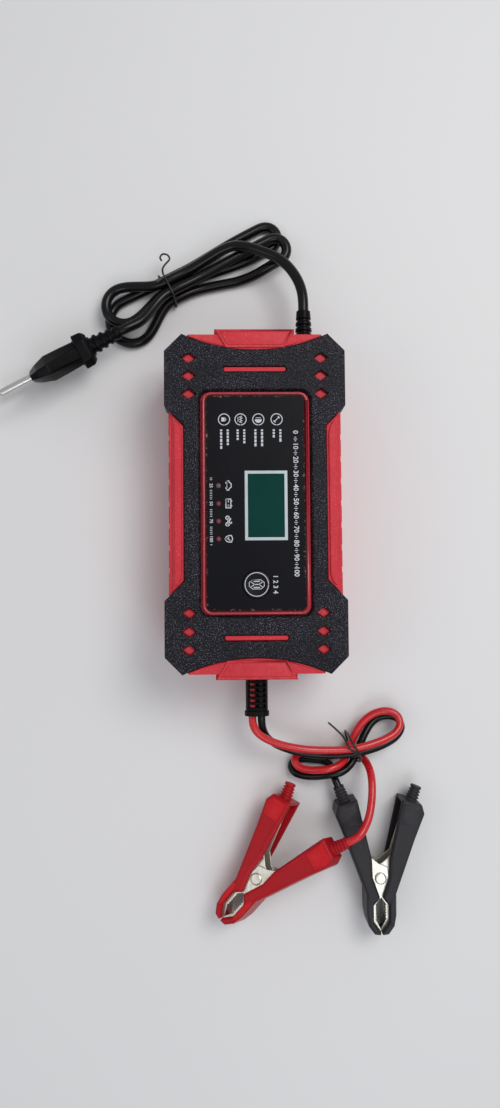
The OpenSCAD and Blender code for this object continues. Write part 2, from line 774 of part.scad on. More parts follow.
// Finger guard: rings on four spokes
module fan_guard() color(black) translate([fan_x, guard_y, fan_z]) rotate([-90, 0, 0]) {
    ring_w = 1.3;
    linear_extrude(guard_t) difference() {
        square(fan_side, center = true);
        circle(d = fan_hole_d, $fn = 96);
    }
    for (r = [6.5:4:fan_hole_d / 2 - 2]) difference() {
        cylinder(r = r + ring_w / 2, h = guard_t);
        translate([0, 0, -over]) cylinder(r = r - ring_w / 2, h = guard_t + 2 * over);
    }
    for (a = [45:90:315]) rotate(a) translate([3, -0.8, 0]) cube([fan_hole_d / 2 - 2.6, 1.6, guard_t]);
    cylinder(d = 8, h = guard_t);
}

// ---------- feet and screws ----------

module rubber_feet() color("#303032") four_corners() translate([foot_at[0], foot_at[1], 0])
    rotate_extrude() polygon([[0, 0], [foot_d / 2 - 0.5, 0], [foot_d / 2, 0.5],
        [foot_d / 2, base_z + foot_seat - face], [0, base_z + foot_seat - face]]);

module housing_screws() color(steel) four_corners() difference() {
    union() {
        post(boss_at, screw_head_d, screw_seat_z - screw_head_h - face, screw_seat_z - face);
        post(boss_at, screw_d, screw_seat_z - 1, screw_seat_z + screw_l);
    }
    for (a = [0, 90]) translate([boss_at[0], boss_at[1], screw_seat_z - screw_head_h]) rotate(a)
        cube([3, 0.8, 1.6], center = true);
}

// ---------- strain reliefs ----------

// Mains relief: bushing in the wall, then a tapered sleeve with rings
relief_ribs = 5;
relief_d0 = 9.6;
relief_d1 = 7.2;
function taper(z) = relief_d0 + (relief_d1 - relief_d0) * z / mains_gland_l;
module mains_gland() color(dark) translate([gland_x, shell_hy, gland_z]) rotate([-90, 0, 0]) {
    pitch = (mains_gland_l - 4) / relief_ribs;
    rotate_extrude() polygon(concat(
        [[0, -wall - 2], [gland_neck_d / 2 + 1, -wall - 2], [gland_neck_d / 2 + 1, -wall - face],
            [gland_neck_d / 2, -wall - face], [gland_neck_d / 2, face], [5.5, face], [5.5, 1.5]],
        [for (i = [0:relief_ribs - 1]) let (z = 1.5 + i * pitch) each [
            [taper(z) / 2 - 0.9, z + 0.2], [taper(z) / 2 - 0.9, z + pitch * 0.4],
            [taper(z) / 2, z + pitch * 0.45], [taper(z + pitch) / 2, z + pitch]]],
        [[taper(mains_gland_l) / 2, mains_gland_l], [0, mains_gland_l]]));
}

// Output relief: flat lattice sleeve that shows both leads through its rungs
dc_w = 11.2;
dc_h = 7.8;
dc_flange_t = 1.8;
lead_gap = lead_d + 0.5;
rungs = 6;
module dc_gland() color(dark) translate([dc_x, -shell_hy, gland_z]) {
    rung_pitch = (dc_gland_l - 7) / rungs;
    difference() {
        union() {
            translate([-dc_neck_w / 2 - 1, wall + face, -dc_neck_h / 2 - 1])
                cube([dc_neck_w + 2, dc_flange_t, dc_neck_h + 2]);
            translate([-dc_neck_w / 2, -over, -dc_neck_h / 2]) cube([dc_neck_w, wall + over + 0.5, dc_neck_h]);
            rotate([90, 0, 0]) {
                slab(face, 2) stadium(dc_w + 1.6, dc_h + 1.4);
                slab(face, dc_gland_l) stadium(dc_w, dc_h);
                slab(dc_gland_l - 2.6, dc_gland_l) stadium(dc_w + 1.2, dc_h + 1);
            }
        }
        for (s = [-1, 1]) translate([s * lead_gap / 2, -2, 0]) rotate([90, 0, 0])
            cylinder(d = lead_d + 0.3, h = dc_gland_l);
        for (i = [0:rungs - 1], s = [-1, 1])
            translate([0, -3.2 - (i + 0.5) * rung_pitch, s * (1.1 + dc_h / 4)])
                cube([dc_w - 2.4, rung_pitch * 0.5, dc_h / 2], center = true);
    }
}

// ---------- tubes ----------

// Point at parameter t of a smooth curve through the points
function spline_at(p, t) = let (n = len(p), i = min(floor(t), n - 2), f = t - i,
    a = i > 0 ? p[i - 1] : 2 * p[0] - p[1], b = p[i], c = p[i + 1],
    d = i + 2 < n ? p[i + 2] : 2 * p[n - 1] - p[n - 2])
    (2 * b + (c - a) * f + (2 * a - 5 * b + 4 * c - d) * f * f + (3 * b - a - 3 * c + d) * f * f * f) / 2;

function spline(p, count) = [for (k = [0:count]) spline_at(p, (len(p) - 1) * k / count)];

function unit(v) = v / norm(v);
function across(v, w) = v - (v * w) * w;
function path_length(p, i = 1) = i < len(p) ? norm(p[i] - p[i - 1]) + path_length(p, i + 1) : 0;

// Directions along a path, and a side vector carried along it without twist
function headings(p) = let (n = len(p))
    [for (i = [0:n - 1]) unit(p[min(i + 1, n - 1)] - p[max(i - 1, 0)])];
function carried(h, side, i = 0) = i < len(h)
    ? let (s = unit(across(side, h[i]))) concat([s], carried(h, s, i + 1)) : [];

// Closed tube of the given diameter along a path; first and last heading can be set
module tube(path, d, sides = 8, start = undef, end = undef) {
    n = len(path);
    free = headings(path);
    h = [for (i = [0:n - 1])
        i == 0 && start != undef ? unit(start) : i == n - 1 && end != undef ? unit(end) : free[i]];
    s = carried(h, abs(h[0][2]) > 0.9 ? [1, 0, 0] : [0, 0, 1]);
    r = d / 2;
    points = [for (i = [0:n - 1], k = [0:sides - 1])
        let (a = 360 * (k + 0.5) / sides) path[i] + r * (cos(a) * s[i] + sin(a) * cross(h[i], s[i]))];
    skin = [for (i = [0:n - 2], k = [0:sides - 1])
        let (a = i * sides + k, b = i * sides + (k + 1) % sides)
        each [[a, b + sides, b], [a, a + sides, b + sides]]];
    first = [for (k = [0:sides - 1]) k];
    last = [for (k = [sides - 1:-1:0]) (n - 1) * sides + k];
    polyhedron(points, concat(skin, [first, last]));
}

// Least distance between points of a path that are more than skip apart along it
function least_gap(p, step, skip) = min([
    for (i = [0:step:len(p) - 1], j = [i + skip:step:len(p) - 1]) norm(p[i] - p[j])]);

// ---------- mains hank ----------

// The hank lies in its own frame: u along it towards the plug's far side, v across
hank_at = [-42.5, 122, 0];
hank_turn = 27.9;
lane = mains_d + 0.55;
lay_low = mains_d / 2 + 0.05;
lay_high = lay_low + lane;
plug_cut = 0.66;                                 // share of the face's thickness that its corners are cut
plug_z = (plug_w * cos(plug_lean) + plug_t * (1 - plug_cut) * sin(plug_lean)) / 2 + 0.05;
tie_u = -3;

function ease(x) = let (t = min(1, max(0, x))) t * t * (3 - 2 * t);
waist_v = [lane / 2, 0, lane, -lane, -lane / 2];
left_v = [12, -7.6, 7, -17.4, -12];
right_v = [3.5, -5, 8, -15, -2];
function run_v(k, u) = u < -4 ? waist_v[k] + (left_v[k] - waist_v[k]) * ease((-u - 4) / 24)
    : waist_v[k] + (right_v[k] - waist_v[k]) * ease((u - 4) / 44);
function tie_lift(u) = 1.3 * (1 - ease((abs(u - tie_u) - 1) / 20));
function run_z(k, u) = tie_lift(u) + (
    k == 0 ? lay_high + 5.5 * ease((u - 4) / 40) :
    k == 1 ? lay_low + (lay_high - lay_low) * ease((-u - 6) / 20) :
    k == 2 ? lay_low :
    k == 3 ? lay_low + (lay_high - lay_low) * ease((u - 30) / 25) :
    lay_high + (plug_z - lay_high) * ease((-u - 2) / 34));
function hank_run(k, u0, u1, count) = [for (i = [0:count])
    let (u = u0 + (u1 - u0) * i / count) [u, run_v(k, u), run_z(k, u)]];

// Half turn that joins two runs at one end of the hank
function hank_turn_at(u, v0, v1, reach, z, side, count) = [
    for (i = [1:count - 1]) let (a = 180 * i / count)
        [u + side * reach * sin(a), (v0 + v1) / 2 + (v0 - v1) / 2 * cos(a), z]];
hank_left = -28;
hank_right = 58;
run_rings = 9;
turn_rings = 7;
hank_path = concat(
    hank_run(0, 30, hank_left, run_rings - 2),
    hank_turn_at(hank_left, left_v[0], left_v[1], 10, lay_high, -1, turn_rings),
    hank_run(1, hank_left, hank_right, run_rings),
    hank_turn_at(hank_right, right_v[1], right_v[2], 6.5, lay_low, 1, turn_rings),
    hank_run(2, hank_right, hank_left, run_rings),
    hank_turn_at(hank_left, left_v[2], left_v[3], 12, lay_low, -1, turn_rings),
    hank_run(3, hank_left, hank_right, run_rings),
    hank_turn_at(hank_right, right_v[3], right_v[4], 6.5, lay_high, 1, turn_rings),
    hank_run(4, hank_right, -24, run_rings - 1));
hank_end = [for (i = [0:3]) let (u = -24 - 13 * i / 3) [u, run_v(4, u), run_z(4, u)]];

function in_hank(p) = [
    hank_at[0] + p[0] * cos(hank_turn) - p[1] * sin(hank_turn),
    hank_at[1] + p[0] * sin(hank_turn) + p[1] * cos(hank_turn), p[2]];
module at_hank() translate(hank_at) rotate(hank_turn) children();

module mains_hank() color(black) at_hank() tube(hank_path, mains_d, 6);

module mains_cord_end() color(black)
    at_hank() tube(hank_end, mains_d, 8, end = [-1, 0, 0],
        start = hank_path[len(hank_path) - 1] - hank_path[len(hank_path) - 2]);

// Free stretch from the gland to the hank
mains_mouth = shell_hy + mains_gland_l + face;
mains_route = [
    [gland_x, mains_mouth, gland_z], [gland_x, mains_mouth + 5.65, gland_z - 0.1], [25.6, 114, 23.3],
    [23.2, 121, 22], [18.5, 128.5, 20], [12.5, 134, 18], [5.5, 137.6, 16.2], [-2, 140.7, 14.6],
    [-9.8, 141.7, 13.5]
];
mains_path = spline(concat(mains_route, [in_hank(hank_path[0])]), 16);
hank_entry = in_hank(hank_path[1]) - in_hank(hank_path[0]);
module mains_cord() color(black) tube(mains_path, mains_d, 8, start = [0, 1, 0], end = hank_entry);

// Wire tie round the waist of the hank: a ring that climbs along the hank, with its ends bent up
tie_side = [[6, 0.65], [8.7, 1.7], [9.6, 4.4], [8.5, 7.8], [6.6, 11.4], [4.2, 13.4]];
tie_ring = concat(tie_side, [for (i = [5:-1:0]) [-tie_side[i][0], tie_side[i][1]]]);
mains_tie_path = concat(
    [[tie_u + 5, 17, 6], [tie_u + 7, 14.4, 9.5], [tie_u + 4, 11.4, 13.4], [tie_u + 1.8, 8.4, 13.2]],
    [for (i = [4:17]) [tie_u + 1.2 - 0.2 * (i - 4), tie_ring[i % 12][0], tie_ring[i % 12][1]]],
    [[tie_u - 2.4, 3, 15.4], [tie_u - 4.5, 2, 17.6]]);
module mains_tie() color(black) at_hank() tube(spline(mains_tie_path, 60), tie_d, 6);

// ---------- plug ----------

plug_v = left_v[4];
relief_r = 5.2;
plug_relief_u = hank_end[3][0];
plug_front_u = plug_relief_u - plug_relief_l - plug_l;

// Outline of the body at each distance behind its face: half width, half thickness, and how far
// the corners are cut along each
plug_shape = [
    [0, 0.93, 0.42, 0.44, 0.26], [4, 1, 0.72, 0.46, 0.46], [10, 1, 1, 0.46, plug_cut],
    [19, 0.7, 0.98, 0.3, 0.6], [26.6, 0.47, 0.94, 0.18, 0.5],
    [27, 0.5, 1.34, 0.19, 0.56], [32, 0.5, 1.3, 0.19, 0.56], [34, 0.4, 1.02, 0.15, 0.4]
];
function cut_plan(hx, hy, cx, cy) = [
    [hx, hy - cy], [hx - cx, hy], [cx - hx, hy], [-hx, hy - cy],
    [-hx, cy - hy], [cx - hx, -hy], [hx - cx, -hy], [hx, cy - hy]
];

module at_plug() at_hank()
    translate([plug_front_u, plug_v, plug_z]) rotate([plug_lean, 0, 0]) rotate([0, 90, 0]) rotate(180)
        children();

module plug_body() color(black) {
    at_plug() difference() {
        loft([for (row = plug_shape)
                cut_plan(row[1] * plug_w / 2, row[2] * plug_t / 2, row[3] * plug_w / 2, row[4] * plug_t / 2)],
            [for (row = plug_shape) row[0] * plug_l / plug_shape[len(plug_shape) - 1][0]]);
        for (s = [-1, 1]) translate([s * pin_gap / 2, 0, -over])
            cylinder(d = pin_root_d + 2 * face, h = pin_seat + over);
    }
    at_plug() translate([0, 0, plug_l - face]) rotate_extrude() polygon(concat([[0, 0], [relief_r, 0]],
        [for (i = [0:3]) let (z = 0.8 + i * (plug_relief_l - 2) / 4, r = relief_r - 1.6 * i / 4) each [
            [r, z], [r - 1.1, z + 0.3], [r - 1.1, z + 1.7], [r - 0.4, z + 2]]],
        [[3.4, plug_relief_l - 0.5], [3.1, plug_relief_l], [0, plug_relief_l]]));
}

// A pin has a thinner root in the body, a straight shank and a domed end
pin_root_d = pin_d - 0.8;
pin_seat = 8;
pin_collar = 0.2;
module plug_pins() color(steel) at_plug() for (s = [-1, 1]) translate([s * pin_gap / 2, 0, 0]) {
    translate([0, 0, -over]) cylinder(d = pin_root_d, h = pin_seat - face + over);
    translate([0, 0, pin_d / 2 - pin_l]) cylinder(d = pin_d, h = pin_l - pin_d / 2 - pin_collar);
    translate([0, 0, pin_d / 2 - pin_l]) rotate_extrude() intersection() {
        circle(d = pin_d);
        translate([0, -pin_d]) square([pin_d, pin_d]);
    }
}

// ---------- output leads ----------

// The red clamp leans on one handle and its nose, the black one lies flat
red_at = [1.9, -189.4, 13];
red_turn = [7, -25, -41];
black_at = [63.6, -190.2, 8.6];
stub_turn = 22;
function turned(r, v) = let (
    a = [v[0] * cos(r[1]) + v[2] * sin(r[1]), v[1], v[2] * cos(r[1]) - v[0] * sin(r[1])],
    b = [a[0], a[1] * cos(r[0]) - a[2] * sin(r[0]), a[1] * sin(r[0]) + a[2] * cos(r[0])])
    [b[0] * cos(r[2]) - b[1] * sin(r[2]), b[0] * sin(r[2]) + b[1] * cos(r[2]), b[2]];
module at_red() translate(red_at)
    rotate(red_turn[2]) rotate([red_turn[0], 0, 0]) rotate([0, red_turn[1], 0]) children();
module at_black() translate(black_at) children();

red_route = [
    [-1.8, -84.4, 24], [-1.8, -92, 24], [-1.8, -99, 24], [-1.8, -106, 24], [-1.2, -110.6, 24.2],
    [1.4, -114.6, 23.6], [6, -117.8, 22.2], [12, -120.4, 20.6], [19, -122.4, 19], [27, -123.8, 17.6],
    [36, -124.4, 16.8], [44, -124.4, 16.4], [52, -123.6, 16.2], [60, -121.8, 15.4], [67, -119.6, 14],
    [72.8, -116.6, 12.4], [75.6, -112.4, 11], [74.4, -108, 9.8], [70, -105.8, 9], [64.4, -106.4, 8.4],
    [59.2, -109.2, 7.8], [55, -113.6, 7.4], [52, -118.8, 7.2], [49.6, -124.2, 7.5], [47.4, -129.2, 8.4],
    [44.2, -132.4, 11.6], [38.6, -134.4, 13.8], [32, -135.2, 12.8], [27.2, -135.4, 10.4], [23, -134.4, 8.8],
    [20.6, -131.2, 7.2], [22.4, -128.2, 5.6], [27.4, -127.2, 4], [35, -127.6, 2.8], [43, -128.2, 2.8],
    [50, -128.2, 3.2], [54, -129, 3.9], [57.4, -131.4, 7.6], [59, -135, 12.8],
    [59.4, -139.6, 17], [59, -145.6, 19.8], [58, -151.8, 21.8], [56, -158, 24.2], [52, -163.8, 27.6],
    [48.4, -166.4, 28.1], [45, -168.2, 27.2]
];
black_route = [
    [2.8, -84.4, 24], [2.8, -92, 24], [2.8, -99, 24], [2.8, -105.4, 24], [3, -109.6, 22.6],
    [3.8, -113.4, 19.6], [6, -117.6, 16.8], [10.6, -121.4, 15], [17.6, -124.4, 13.8], [26, -126.6, 12.8],
    [35, -127.6, 12.2], [44, -127.6, 12.5], [52.6, -126.8, 12.4], [60.6, -125.2, 11], [67.8, -122.8, 9.6],
    [73.8, -119.4, 8.2], [77, -114.8, 6.8], [75.6, -110.4, 5.4], [70.6, -108.8, 4.6], [65.2, -110, 4.4],
    [61.2, -113, 5], [58, -117.6, 6.2], [55.4, -122.6, 7.2], [52.8, -128, 7.8], [50, -133, 8.8],
    [44.8, -136.6, 11.2], [38.2, -138, 11.2], [31.6, -139.2, 8.8], [25.6, -139.4, 6], [20.8, -138, 4.2],
    [19.2, -134.8, 2.8], [21.2, -132, 2.1], [26, -131.4, 2.1], [31, -131.8, 2.1], [35.4, -132.4, 2.1],
    [39, -134, 2.8], [40.8, -137.2, 4.4], [41.7, -141, 7.2], [43.1, -144.6, 8.6]
];
lead_rings = 84;
stub_axis = [sin(stub_turn), cos(stub_turn), 0];
black_arrival = [stub_axis[0], -stub_axis[1], 0];
red_arrival = -turned(red_turn, stub_axis);
red_path = spline(red_route, lead_rings);
black_path = spline(black_route, lead_rings);

module red_lead() color(red) tube(red_path, lead_d, 6, start = [0, -1, 0], end = red_arrival);
module black_lead() color(black) tube(black_path, lead_d, 6, start = [0, -1, 0], end = black_arrival);

// Wire tie round the crossing of the pair
dc_tie_route = [
    [36.4, -109, 25], [40.5, -112.6, 25.5], [44.2, -116.6, 24.4], [46.5, -120.8, 20.4], [48.5, -123.6, 19.6],
    [51.5, -126, 18.4], [54.2, -128.4, 15.6], [55, -130.8, 11.4], [54, -132, 7], [52.4, -131.2, 2.4],
    [50.4, -127.6, 0.7], [49.2, -121.8, 0.8], [48, -117.4, 2.4], [47.6, -116.2, 7], [48, -117, 13],
    [48.8, -119, 17.4], [50.4, -122, 19.4], [52.6, -125.2, 18.2], [54.2, -128.4, 15.4]
];
module dc_tie() color(black) tube(spline(dc_tie_route, 66), tie_d, 6);

// ---------- clamps ----------

// Each clamp lies in its own frame: rivet along Z through the origin, jaws towards -Y,
// one arm on each side of X = 0. Outlines are those of the arm on +X.
clamp_bevel = 1;
nose_gap = 0.4;
clamp_plan = [
    [nose_gap, -28], [3.6, -27.6], [6.6, -23.5], [7.6, -18], [7.7, -7.4], [17.9, 20.2], [23, 32.5],
    [21.8, 37.2], [11.6, 40.2], [4.5, 10], [4.2, 1], [0.6, -9.4], [3.9, -13.2], [3.9, -21.4], [nose_gap, -26.2]
];
outer_edge = [for (i = [1:6]) clamp_plan[i]];
lined_edge = beside(outer_edge, clamp_wall);
pocket_half_h = clamp_h / 2 - clamp_wall - 0.9;
plate_edge = beside(outer_edge, clamp_wall + 0.05);
spine_edge = beside(outer_edge, clamp_wall + 0.05 + clamp_plate);
tooth = 1.4;
jaw_teeth = [for (i = [0:4]) each [[2.8, -13.4 - tooth * i], [2.2, -13.4 - tooth * (i + 0.5)]]];
plate_front = [[0.2, -25.3], [0.2, -26.7], [3, -26.2]];
plate_plan = concat(
    plate_front, [for (i = [1:4]) plate_edge[i]], [[plate_edge[5][0] - 0.8, plate_edge[5][1] - 2.2]],
    [[13.5, 33], [6.5, 12], [1, 7.5], [-3.6, 5.5], [-4.2, 0], [-0.8, -9.6], [0.6, -10.4]],
    jaw_teeth, [[2.8, -20.6]]);
rivet_head_d = rivet_d + 2;
fixed_flange_z = pocket_half_h - 0.3;
moving_flange_z = fixed_flange_z - clamp_plate - 0.2;
stub_from = [17.5, 38.2];
stub_l = 8;
stub_d0 = 6.8;
stub_d1 = 5.6;

// side is 1 for the arm on +X and -1 for the arm on -X
module on_side(side) mirror([side > 0 ? 0 : 1, 0, 0]) children();

module arm_cover(side) on_side(side) {
    h = clamp_h / 2;
    difference() {
        loft([inset(clamp_plan, clamp_bevel), clamp_plan, clamp_plan, inset(clamp_plan, clamp_bevel)],
            [-h, clamp_bevel - h, h - clamp_bevel, h]);
        slab(-pocket_half_h, pocket_half_h) polygon(concat([[-2, -26.6]], lined_edge, [[5, 42], [-2, 10]]));
    }
    translate([stub_from[0], stub_from[1], 0]) rotate(-stub_turn) rotate([-90, 0, 0]) rotate_extrude()
        polygon(concat([[0, -3], [stub_d0 / 2, -3]],
            [for (i = [0:3])
                let (z = 1 + i * (stub_l - 1.6) / 4, r = stub_d0 / 2 + (stub_d1 - stub_d0) / 2 * i / 4)
                each [[r, z], [r - 0.6, z + 0.15], [r - 0.6, z + 0.75], [r, z + 0.9]]],
            [[stub_d1 / 2, stub_l], [0, stub_l]]));
}

// Pressed plate: two flanges joined by a spine along the outer edge
module arm_plate(side, flange_z, bore) on_side(side) difference() {
    union() {
        for (z = [-flange_z, flange_z - clamp_plate]) slab(z, z + clamp_plate) polygon(plate_plan);
        slab(-flange_z, flange_z) polygon(concat(
            [for (i = [1:4]) plate_edge[i]], [for (i = [4:-1:1]) spine_edge[i]]));
    }
    slab(-flange_z - over, flange_z + over) circle(d = bore);
}

module clamp_rivet() {
    cylinder(d = rivet_d, h = 2 * fixed_flange_z + 1, center = true);
    for (s = [0, 1]) mirror([0, 0, s]) translate([0, 0, fixed_flange_z + face]) rotate_extrude()
        polygon([[0, 0], [rivet_head_d / 2, 0], [rivet_head_d / 2, 0.5], [rivet_head_d / 2 - 0.6, 1],
            [0, 1.1]]);
}

// Torsion spring round the rivet, one leg against each handle
spring_r = rivet_d / 2 + 0.35 + spring_wire / 2;
spring_pitch = spring_wire + 0.55;
spring_from = 147.6;                             // angle at which the first leg leaves the coil
spring_path = let (
    turns = spring_turns + 0.18, half = spring_pitch * turns / 2, n = 8 * spring_turns,
    coil = [for (i = [0:n])
        let (a = spring_from - 360 * turns * i / n)
        [spring_r * cos(a), spring_r * sin(a), half * (2 * i / n - 1)]],
    reach = [11.6, 14.6])
    concat([[-reach[0], reach[1], -half + 0.2]], coil, [[reach[0], reach[1], half - 0.2]]);
module clamp_spring() tube(spring_path, spring_wire, 6);

module red_cover_fixed() color(red) at_red() arm_cover(1);
module red_cover_moving() color(red) at_red() arm_cover(-1);
module red_jaw_fixed() color(steel) at_red() arm_plate(1, fixed_flange_z, rivet_d + 0.06);
module red_jaw_moving() color(steel) at_red() arm_plate(-1, moving_flange_z, rivet_d + 0.12);
module red_rivet() color(steel) at_red() clamp_rivet();
module red_spring() color(steel) at_red() clamp_spring();
module black_cover_fixed() color(black) at_black() arm_cover(-1);
module black_cover_moving() color(black) at_black() arm_cover(1);
module black_jaw_fixed() color(steel) at_black() arm_plate(-1, fixed_flange_z, rivet_d + 0.06);
module black_jaw_moving() color(steel) at_black() arm_plate(1, moving_flange_z, rivet_d + 0.12);
module black_rivet() color(steel) at_black() clamp_rivet();
module black_spring() color(steel) at_black() clamp_spring();

echo(free_mains = path_length(mains_path), hank = path_length(hank_path), mains_end = path_length(hank_end));
echo(red_lead = path_length(red_path), black_lead = path_length(black_path));
echo(hank_gap = least_gap(hank_path, 1, 5) - mains_d);

base_shell();
top_shell();
top_cover();
label_panel();
lcd_bezel();
lcd_glass();
lcd_backlight();
status_leds();
mode_key();
switch_plunger();
switch_body();
display_board();
display_screws();
main_board();
board_screws();
transformer();
mains_capacitor();
output_capacitors();
heatsinks();
transistors();
choke();
fuse();
fan_frame();
fan_rotor();
fan_guard();
rubber_feet();
housing_screws();
mains_gland();
dc_gland();
mains_cord();
mains_hank();
mains_cord_end();
mains_tie();
plug_body();
plug_pins();
red_lead();
black_lead();
dc_tie();
red_cover_fixed();
red_cover_moving();
red_jaw_fixed();
red_jaw_moving();
red_rivet();
red_spring();
black_cover_fixed();
black_cover_moving();
black_jaw_fixed();
black_jaw_moving();
black_rivet();
black_spring();
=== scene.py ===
# Car battery charger: materials, softened shells, printed panel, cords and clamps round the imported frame
import json
import math
from functools import partial
import bpy
import bmesh
import numpy as np
from mathutils import Matrix, Vector

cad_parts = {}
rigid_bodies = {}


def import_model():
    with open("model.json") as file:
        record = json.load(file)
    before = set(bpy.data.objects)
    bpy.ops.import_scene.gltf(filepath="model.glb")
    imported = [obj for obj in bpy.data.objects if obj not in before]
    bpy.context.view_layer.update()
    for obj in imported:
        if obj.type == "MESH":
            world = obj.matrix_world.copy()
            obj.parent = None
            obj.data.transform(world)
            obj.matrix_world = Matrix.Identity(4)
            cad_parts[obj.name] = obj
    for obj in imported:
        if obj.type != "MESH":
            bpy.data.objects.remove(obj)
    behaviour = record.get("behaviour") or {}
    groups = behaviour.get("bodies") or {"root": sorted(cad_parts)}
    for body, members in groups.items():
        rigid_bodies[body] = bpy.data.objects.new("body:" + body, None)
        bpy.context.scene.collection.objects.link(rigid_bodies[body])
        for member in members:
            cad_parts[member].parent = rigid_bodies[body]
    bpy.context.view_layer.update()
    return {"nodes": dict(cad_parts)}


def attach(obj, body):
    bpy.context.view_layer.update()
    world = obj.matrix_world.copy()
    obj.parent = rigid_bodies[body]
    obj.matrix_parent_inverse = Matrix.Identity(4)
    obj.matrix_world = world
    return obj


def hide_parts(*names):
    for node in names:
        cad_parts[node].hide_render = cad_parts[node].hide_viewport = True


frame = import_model()
nodes = frame["nodes"]
mm = 0.001
scene = bpy.context.scene
print("frame loaded:", len(nodes), "nodes")

# place in mm, turn in degrees about X, Y and Z, focal length and long side in pixels, clip in m
camera = dict(place=(-12.309, -46.444, 450.699), turn=(3.0763, -1.335, -0.385), focal=837,
    longSide=1108, sensor=36, clip=(0.01, 10))


def addCamera():
    data = bpy.data.cameras.new("viewCamera")
    data.sensor_fit = "AUTO"
    data.sensor_width = camera["sensor"]
    data.lens = camera["sensor"] * camera["focal"] / camera["longSide"]
    data.clip_start, data.clip_end = camera["clip"]
    obj = bpy.data.objects.new("viewCamera", data)
    scene.collection.objects.link(obj)
    rx, ry, rz = (Matrix.Rotation(math.radians(a), 4, axis) for a, axis in zip(camera["turn"], "XYZ"))
    obj.matrix_world = Matrix.Translation(Vector(camera["place"]) * mm) @ (rx @ ry @ rz)
    scene.camera = obj


# Shader nodes: a value is a number, a color or another node's output, which knows its own tree

def feed(socket, value):
    if isinstance(value, bpy.types.NodeSocket):
        socket.id_data.links.new(value, socket)
    else:
        socket.default_value = (*value, 1) if socket.type == "RGBA" and len(value) == 3 else value


def addNode(tree, kind, inputs=None, **settings):
    node = tree.nodes.new("ShaderNode" + kind)
    for key, value in settings.items():
        setattr(node, key, value)
    for key, value in (inputs or {}).items():
        feed(node.inputs[key], value)
    return node


def calc(operation, *values, clamp=False):
    tree = next(value.id_data for value in values if isinstance(value, bpy.types.NodeSocket))
    return addNode(tree, "Math", dict(enumerate(values)), operation=operation, use_clamp=clamp).outputs[0]


plus, minus, times = (partial(calc, operation) for operation in ("ADD", "SUBTRACT", "MULTIPLY"))


def spread(value, source, target):
    # the source range laid over the target range
    ends = {"From Min": source[0], "From Max": source[1], "To Min": target[0], "To Max": target[1]}
    return addNode(value.id_data, "MapRange", {"Value": value, **ends}).outputs["Result"]


def blendColors(factor, first, second):
    # the color sockets of a mix node are its inputs 6 and 7 and its output 2
    inputs = {"Factor": factor, 6: first, 7: second}
    return addNode(factor.id_data, "Mix", inputs, data_type="RGBA").outputs[2]


def objectPoint(tree):
    return addNode(tree, "TexCoord").outputs["Object"]


def noise(tree, scale, detail=2, roughness=0.5, distortion=0, point=None):
    inputs = dict(Vector=point or objectPoint(tree), Scale=scale, Detail=detail, Roughness=roughness,
        Distortion=distortion)
    return addNode(tree, "TexNoise", inputs).outputs["Fac"]


def pointiness(tree):
    return addNode(tree, "NewGeometry").outputs["Pointiness"]


def startFinish(name, look):
    mat = bpy.data.materials.new(name)
    mat.use_nodes = True
    tree = mat.node_tree
    tree.nodes.clear()
    labels = dict(metallic="Metallic", coat="Coat Weight", coatRoughness="Coat Roughness",
        specular="Specular IOR Level")
    own = {label: look[key] for key, label in labels.items() if key in look}
    shader = addNode(tree, "BsdfPrincipled", own)
    addNode(tree, "OutputMaterial", {"Surface": shader.outputs["BSDF"]})
    return mat, tree, shader.inputs


studio = dict(floorColor=(0.735, 0.732, 0.735), floorSwing=1.06, floorPatches=3, floorRoughness=0.6,
    floorSpecular=0.25, floorHalf=3, worldColor=(0.84, 0.86, 0.9, 1), worldStrength=0.5,
    aim=(0, -0.02, 0.02))
# energy in W, size and place in m, color
lamps = dict(
    keyLamp=(5.2, 0.55, (0.42, 0.34, 0.95), (1, 0.985, 0.96)),
    fillLamp=(2, 0.55, (0.22, -0.62, 0.95), (0.92, 0.96, 1)),
    sideLamp=(0.42, 0.32, (-0.72, -0.14, 0.76), (1, 0.98, 0.95)),
)


def addLamp(name, energy, size, place, color):
    data = bpy.data.lights.new(name, "AREA")
    data.energy, data.size, data.color = energy, size, color
    obj = bpy.data.objects.new(name, data)
    obj.location = place
    scene.collection.objects.link(obj)
    obj.rotation_euler = (Vector(studio["aim"]) - obj.location).to_track_quat("-Z", "Y").to_euler()


def buildStudio():
    s = studio
    mat, tree, shader = startFinish("paleFloor", dict(specular=s["floorSpecular"]))
    brighter = tuple(c * s["floorSwing"] for c in s["floorColor"])
    color = blendColors(noise(tree, s["floorPatches"]), s["floorColor"], brighter)
    feed(shader["Base Color"], color)
    feed(shader["Roughness"], s["floorRoughness"])
    mesh = bpy.data.meshes.new("floor")
    h = s["floorHalf"]
    mesh.from_pydata([(-h, -h, 0), (h, -h, 0), (h, h, 0), (-h, h, 0)], [], [(0, 1, 2, 3)])
    mesh.materials.append(mat)
    floor = bpy.data.objects.new("floor", mesh)
    scene.collection.objects.link(floor)
    world = bpy.data.worlds.new("studio")
    scene.world = world
    world.use_nodes = True
    background = world.node_tree.nodes["Background"]
    background.inputs["Color"].default_value = s["worldColor"]
    background.inputs["Strength"].default_value = s["worldStrength"]
    for name, lamp in lamps.items():
        addLamp(name, *lamp)
    scene.view_settings.view_transform = "Standard"


addCamera()
buildStudio()
print("camera, lamps and floor in place")


# Shapes, in mm: a part is its points and faces, a grid has its points in rows

